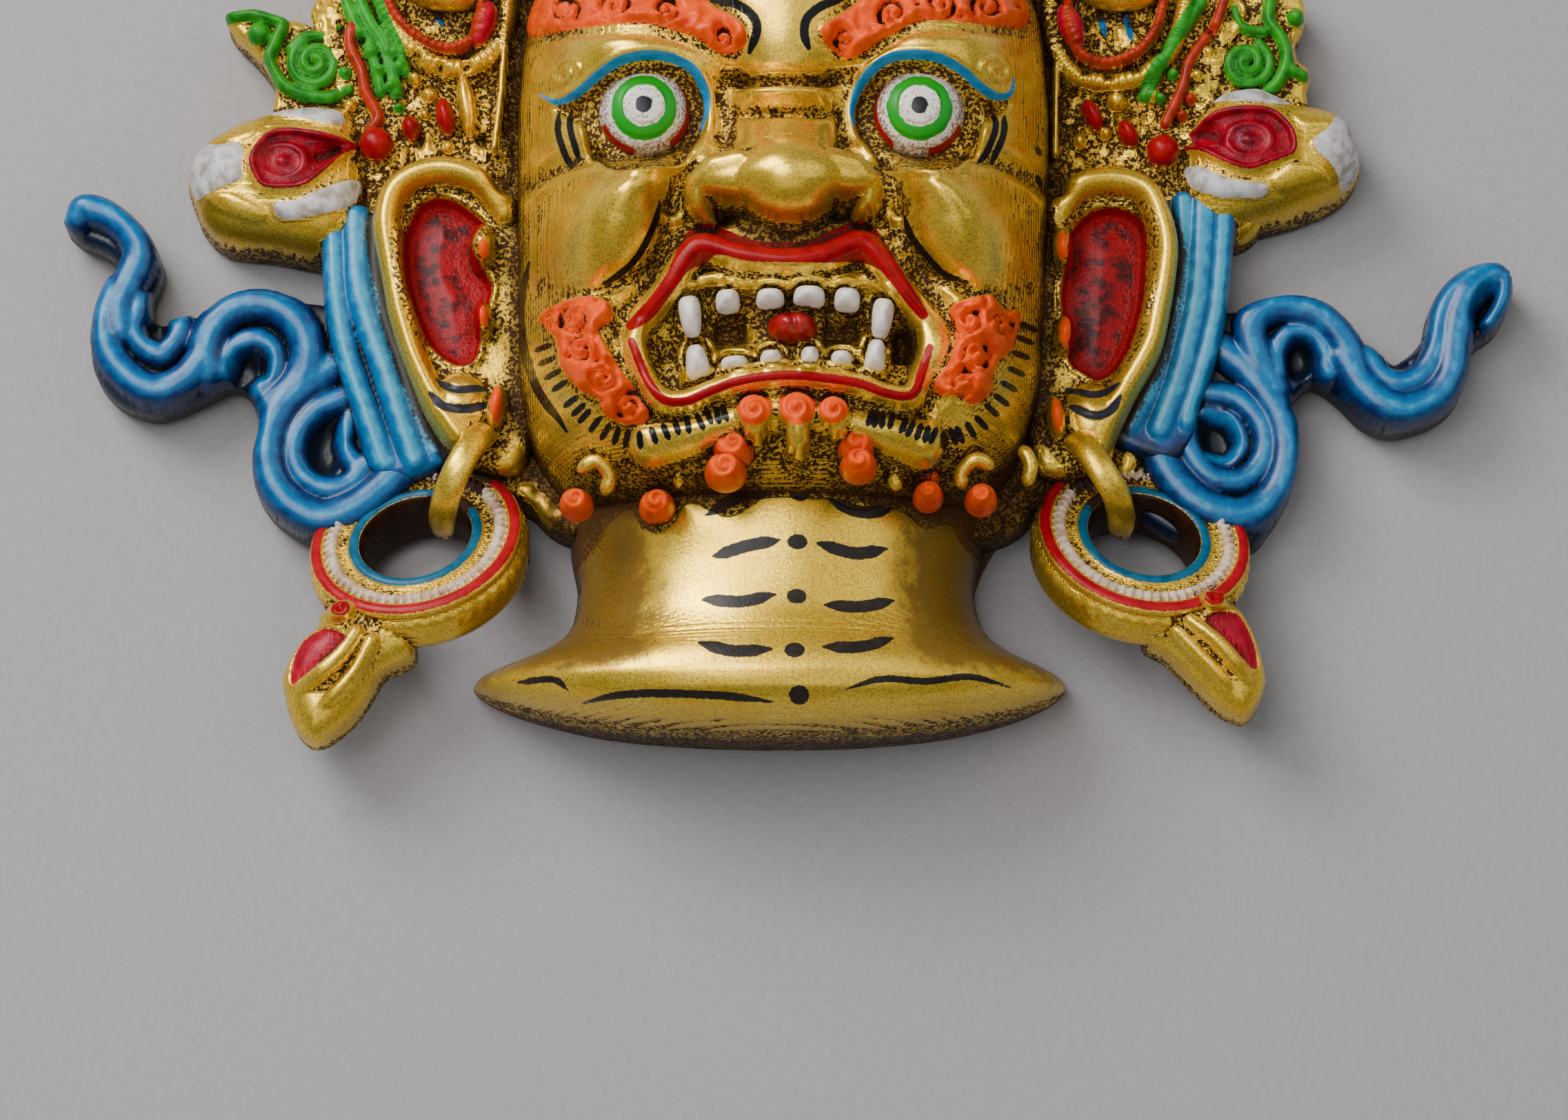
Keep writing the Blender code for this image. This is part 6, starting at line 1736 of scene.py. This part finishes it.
def make_temples():
    """Temple sheets: a granular ground with ropes and beads raised on it, each in its own colour."""
    colours = {"green": (srgb(46, 142, 34), srgb(28, 112, 26)), "red": (RED, DEEP_RED),
               "pink": (srgb(176, 12, 46), srgb(146, 6, 34)),
               "coral": (srgb(166, 44, 22), srgb(120, 30, 14)),
               "blue": (srgb(20, 104, 156), srgb(14, 84, 130))}
    layers = [(key, first, second, 0.5) for key, (first, second) in colours.items()]
    material = paint_material("temple_paint", layers, patina=1.7)
    for name, shape in TEMPLES.items():
        def height(x, y, shape=shape):
            z = 10.4 + 1.5 * grain(x, y, 1.1, 3) + 1.0 * grain(x, y, 2.6, 5)
            for line, half_width, _ in shape["ropes"]:
                z = raise_rope(x, y, z, line, half_width, half_width * 1.6, 0.3)
            for centre, half, turn, top, _ in shape["balls"]:
                z = raise_ball(x, y, z, centre, half, turn, top, 2.6, 0.3)
            for dot in shape["pits"]:
                z = z - 2.4 * np.exp(-(np.hypot(x - dot[0], y - dot[1]) / 0.6) ** 2)
            for line, half_width, _ in shape["ropes"][:2]:
                path = curve(line, 0.4)
                d, t, _ = nearest(x, y, path)
                z = z + 0.28 * np.cos(t * len(path) * 0.4 / 1.1 * 2 * pi) * (d < half_width)
            return z

        def marks(x, y, shape=shape):
            found = {key: np.full(len(x), FAR) for key in (*colours, "gold")}
            for line, half_width, key in shape["ropes"]:
                d = nearest(x, y, curve(line, 0.5))[0] - half_width
                found[key] = np.minimum(found[key], d)
            for centre, half, turn, _, key in shape["balls"]:
                r = np.hypot(*in_oval(x, y, centre, half, turn))
                found[key] = np.minimum(found[key], (r - 1) * min(half))
            for line in shape["strokes"]:
                found["blue"] = np.minimum(found["blue"], stroke_distance(x, y, line, 0.5))
            return found

        relief_piece(name, shape["outline"], 0.28, height, marks, material, 0.8, 4.0)


make_temples()

# Backing and back
# The flat ground that joins ears, ribbons and crown: granular dark gold in front, brown resin behind with
# the open hollow under the face.
BACKING_HALF = [
    (0.0, -4.0), (-28.0, 1.0), (-36.0, 6.0), (-46.0, 8.0), (-52.0, 20.0), (-58.0, 40.0),
    (-66.0, 46.0), (-69.5, 61.0), (-62.0, 66.0), (-60.0, 80.0), (-56.0, 90.0), (-46.0, 98.0),
    (-34.0, 106.0), (-18.0, 113.0), (0.0, 118.0),
]
BACK_PAIRS = [
    ((0, 118), 90), ((-18, 113), 100), ((-34, 106), 112), ((-46, 98), 125), ((-56, 90), 138),
    ((-60, 80), 148), ((-62, 66), 160), ((-69.5, 61), 165), ((-66, 46), 172), ((-58, 40), 178),
    ((-52, 20), 195), ((-46, 8), 208), ((-36, 6), 215), ((-29.6, 2), 222), ((-28.6, -6), 232),
    ((-30, -11.4), 240), ((-33.6, -14.0), 246), ((-42, -17.7), 250), ((-38.2, -21.5), 256),
    ((-23, -25.5), 262), ((0, -26.7), 270),
]
HOLLOW_CENTRE = (0.0, 32.0)
HOLLOW_HALF = (29.0, 42.0, 30.6)


def make_backing():
    """Granular ground in front of the flat back, its underside left open where nothing shows."""
    right = [(-x, y) for x, y in BACKING_HALF[-2:0:-1]]

    def height(x, y):
        return 8.6 + 1.4 * grain(x, y, 1.3, 8) + 0.9 * grain(x, y, 3.1, 9)

    relief_piece("backing", BACKING_HALF + right, 0.75, height, lambda x, y: {},
                 paint_material("backing_paint", [], patina=1.5), 1.2, 0.0, base=False)


def make_back():
    """Rows from the outline in to the hollow's rim, then up its dome, z = high (1 - r^n)^(1/n).

    Known fault: on the loop's closing step the turn runs back from 440 to 90 degrees, so those faces
    lie across the hollow.
    """
    half = np.array([(x, y, turn) for (x, y), turn in BACK_PAIRS], float)
    other = half[-2:0:-1] * (-1, 1, 1)
    other[:, 0] *= np.where(other[:, 1] < 0, 0.9, 1.0)
    other[:, 2] = 540 - other[:, 2]
    loop = curve(np.vstack([half, other]), 1.6, closed=True)
    angle = np.unwrap(np.radians(loop[:, 2]))
    c, s = np.cos(angle), np.sin(angle)
    power = 2 / HEAD_SQUARE
    hole_x = HOLLOW_CENTRE[0] + HOLLOW_HALF[0] * np.sign(c) * np.abs(c) ** power
    hole_y = HOLLOW_CENTRE[1] + HOLLOW_HALF[1] * np.sign(s) * np.abs(s) ** power
    rows = []
    for t in np.linspace(0, 1, 8):
        rows.append(np.stack([loop[:, 0] * (1 - t) + hole_x * t, loop[:, 1] * (1 - t) + hole_y * t,
                              np.full(len(loop), 0.02)], axis=1))
    for r in np.cos(np.linspace(0.06, pi / 2, 40)):
        rows.append(np.stack([HOLLOW_CENTRE[0] + (hole_x - HOLLOW_CENTRE[0]) * r,
                              HOLLOW_CENTRE[1] + (hole_y - HOLLOW_CENTRE[1]) * r,
                              np.full(len(loop), HOLLOW_HALF[2] * (1 - r ** HEAD_SQUARE)
                                      ** (1 / HEAD_SQUARE))], axis=1))
    points = np.vstack(rows)
    inner = points[:, 2] > 0.1
    points[inner, 2] += 0.5 * (grain(points[inner, 0], points[inner, 1], 4.0, 12) - 0.5)
    material, tree, shader = new_material("back_resin", 0.7)
    tone = steps(tree, noise(tree, 160.0, 5.0), 0.3, 0.7)
    tree.links.new(mix_colour(tree, tone, srgb(96, 66, 42), srgb(72, 48, 30)),
                   shader.inputs["Base Color"])
    bump(tree, shader, noise(tree, 700.0, 4.0), 0.0003, 0.5)
    add_piece("back", points, grid_faces(len(rows), len(loop), around=True), material)


make_backing()
make_back()

# Crown
# Above the photograph's edge and so plainer: a beaded band over the brow, five skulls in bead frames with
# petals between them, and a jewel finial. Cast in one with the head and backing.
SKULLS = [(-46.5, 87.0, 15.0), (-26.0, 97.0, 19.0), (0.0, 102.0, 22.0), (26.0, 97.0, 19.0),
          (46.5, 87.0, 15.0)]
SKULL_RADIUS = 7.2
BAND = [(-37, 80, 17), (-27, 84, 23), (0, 88, 30), (27, 84, 23), (37, 80, 17)]


def ball(centre, half, rings=24, turns=36):
    """Oval ball by height and turn."""
    a = np.linspace(0.02, pi - 0.02, rings)[:, None]
    b = np.linspace(0, 2 * pi, turns, endpoint=False)[None, :]
    points = np.stack([centre[0] + half[0] * np.sin(a) * np.cos(b),
                       centre[1] + half[1] * np.sin(a) * np.sin(b),
                       centre[2] + half[2] * np.cos(a) * np.ones_like(b)], axis=-1)
    return points.reshape(-1, 3), grid_faces(rings, turns, around=True)


def skull(centre):
    """Ball pressed in at the eyes, temples and nose, drawn in below to a toothed jaw."""
    rings, turns = 70, 120
    a = np.linspace(0.02, pi - 0.02, rings)[:, None]
    b = np.linspace(0, 2 * pi, turns, endpoint=False)[None, :]
    u, v, w = np.sin(a) * np.cos(b), np.sin(a) * np.sin(b), np.cos(a) * np.ones_like(b)
    jaw = np.clip((-0.35 - v) / 0.5, 0, 1)
    u = u * (1 - 0.28 * jaw)
    reach = np.ones_like(u)
    for x, y, size, deep in ((-0.36, -0.1, 0.24, 0.42), (0.36, -0.1, 0.24, 0.42),
                             (0.0, -0.42, 0.12, 0.2)):
        d = np.hypot(u - x, v - y) / size
        reach = reach - deep * np.exp(-d ** 4) * (w > 0)
    mouth = np.exp(-((v + 0.72) / 0.05) ** 2) * (np.abs(u) < 0.34) * (w > 0)
    gaps = (np.cos(u * 46) > 0.6) * (np.abs(v + 0.72) < 0.16) * (np.abs(u) < 0.34) * (w > 0)
    reach = reach - 0.06 * mouth - 0.04 * gaps
    r = SKULL_RADIUS
    points = np.stack([centre[0] + r * 0.94 * u * reach, centre[1] + r * 1.18 * v * reach,
                       centre[2] + r * 0.98 * w * reach], axis=-1)
    return points.reshape(-1, 3), grid_faces(rings, turns, around=True), (1 - reach).ravel()


def make_crown():
    """Band, frames, petals and finial as tubes and balls; every frame carries a row of beads."""
    gold, coral, green, blue = [], [], [], []
    gold.append(tube(BAND, 2.6, 5.2, 24, 0.8))
    upper = curve(BAND, 0.5)
    for k in range(0, len(upper), 6):
        x, y, z = upper[k]
        lean = 0.0 if abs(x) < 1 else x / 50
        gold.append(ball((x + 2.6 * lean, y + 2.2, z + 3.6), (1.3, 1.3, 1.3), 10, 14))
        coral.append(ball((x - 0.6 * lean, y - 0.4, z + 4.9), (1.0, 1.0, 1.0), 10, 14))
    for x, y, z in SKULLS:
        r = SKULL_RADIUS
        frame_line = [(x - r - 2.2, y + 5, z - 3.6), (x - r - 1.4, y - 3, z - 3),
                      (x - r * 0.62, y - r - 1.6, z - 2), (x, y - r - 3.2, z - 1),
                      (x + r * 0.62, y - r - 1.6, z - 2), (x + r + 1.4, y - 3, z - 3),
                      (x + r + 2.2, y + 5, z - 3.6)]
        gold.append(tube(frame_line, 1.8, 2.6, 18, 0.8))
        path = curve(frame_line, 0.5)
        for k in range(2, len(path) - 2, 4):
            coral.append(ball((path[k, 0], path[k, 1], path[k, 2] + 2.4), (0.95, 0.95, 0.95), 10, 14))
        green.append(ball((x, y + r + 2.6, z - 2.4), (3.2, 5.0, 4.4)))
        for side in (-1, 1):
            gold.append(ball((x + side * 3.6, y + r + 0.8, z - 3), (2.2, 4.0, 3.6)))
        coral.append(ball((x, y + r + 2.0, z + 1.6), (1.6, 2.2, 1.8)))
    for (ax, ay, az), (bx, by, bz) in zip(SKULLS, SKULLS[1:]):
        mx, my, mz = (ax + bx) / 2, (ay + by) / 2, (az + bz) / 2
        gold.append(ball((mx, my - 4, mz - 3.5), (3.0, 4.6, 4.2)))
        blue.append(ball((mx, my - 3.6, mz - 0.6), (1.5, 2.4, 1.9)))
    gold.append(ball((0, 117, 12), (8, 6.5, 8.6), 30, 48))
    gold.append(ball((0, 129, 9), (2.4, 6.2, 4.2)))
    for side in (-1, 1):
        gold.append(tube([(side * 3, 114, 16), (side * 8.6, 117, 15), (side * 8.4, 122, 14),
                          (side * 5.2, 124.6, 13)], 1.3, 1.6))
    coral.append(ball((0, 122, 12), (5.2, 6.3, 7.0), 30, 48))
    runs = [gold, coral, green, blue]
    parts = [part for run in runs for part in run]
    points, faces, number = join_parts(parts)
    edges = np.cumsum([len(run) for run in runs])
    found = {key: np.where((number >= low) & (number < high), -1.0, 2.0)
             for key, low, high in zip(("coral", "green", "blue"), edges[:-1], edges[1:])}
    material = paint_material("crown_paint", [
        ("coral", srgb(176, 34, 26), srgb(148, 24, 18), 0.3),
        ("green", srgb(44, 146, 30), srgb(26, 116, 24), 0.3),
        ("blue", srgb(14, 92, 148), srgb(8, 72, 122), 0.3)], patina=1.2)
    add_piece("crown", points, faces, material, found)


def make_skulls():
    """Five white enamelled skulls with black sockets."""
    material, tree, shader = new_material("skull_enamel", 0.4)
    fine = noise(tree, 1900.0, 4.0, 0.65)
    white = mix_colour(tree, steps(tree, fine, 0.45, 0.75), srgb(214, 208, 198), srgb(184, 172, 156))
    pressed = calc(tree, "ADD", attribute(tree, "pressed"),
                   sway(tree, fine, 0.1))
    tree.links.new(mix_colour(tree, steps(tree, pressed, 0.035, 0.09), white, srgb(40, 30, 26)),
                   shader.inputs["Base Color"])
    bump(tree, shader, fine, 0.0001, 0.4)
    found = [skull(centre) for centre in SKULLS]
    points, faces, _ = join_parts([(p, f) for p, f, _ in found])
    add_piece("skulls", points, faces, material,
              {"pressed": np.concatenate([pressed for _, _, pressed in found])})


make_crown()
make_skulls()

# Patina
# Every piece learns how deep it lies below what is round it, seen from the front, and its paint goes dark
# there. The casting was browned all over and wiped, so the brown stays in the hollows. The broad depth also
# browns wide low areas smoothly, partly the casting's wash and partly painted shade.
PATINA_STEP = 0.4


def blur(image, width):
    """Even out an image of heights by a bell of a given width in cells, one axis and then the other."""
    reach = int(3 * width)
    bell = np.exp(-0.5 * (np.arange(-reach, reach + 1) / width) ** 2)
    bell /= bell.sum()
    for axis in (0, 1):
        padded = np.pad(image, [(reach, reach) if k == axis else (0, 0) for k in (0, 1)], "edge")
        image = np.apply_along_axis(lambda row: np.convolve(row, bell, "valid"), axis, padded)
    return image


def mark_hollows():
    """Greatest height in each 0.4 mm cell, blurred finely and broadly, less the point's own height."""
    low = np.array([-104.0, -34.0])
    shape = (int(210 / PATINA_STEP), int(174 / PATINA_STEP))
    top = np.zeros(shape)
    cells = []
    for piece, points in pieces:
        cell = np.clip(((points[:, :2] - low) / PATINA_STEP).astype(int), 0, np.array(shape) - 1)
        cells.append(cell)
        np.maximum.at(top, (cell[:, 0], cell[:, 1]), points[:, 2])
    for _ in range(2):
        spread = top.copy()
        for axis in (0, 1):
            for way in (-1, 1):
                spread = np.maximum(spread, np.roll(top, way, axis) - 0.2)
        top = np.where(top > 0.01, top, spread)
    fine, broad = blur(top, 0.9 / PATINA_STEP), blur(top, 3.5 / PATINA_STEP)
    for (piece, points), cell in zip(pieces, cells):
        near = fine[cell[:, 0], cell[:, 1]] - points[:, 2]
        wide = broad[cell[:, 0], cell[:, 1]] - points[:, 2]
        depth = np.clip(1.1 * np.clip(near, -1.5, 2.5) + 0.1 * np.clip(wide, -3, 6), -2, 3)
        # The broad depth, written second, drives a brown wash that is partly painted shade.
        for mark, values in (("hollow", depth), ("wash_and_shade", np.clip(wide, -3, 6))):
            write_mark(piece.data, mark, values)


mark_hollows()
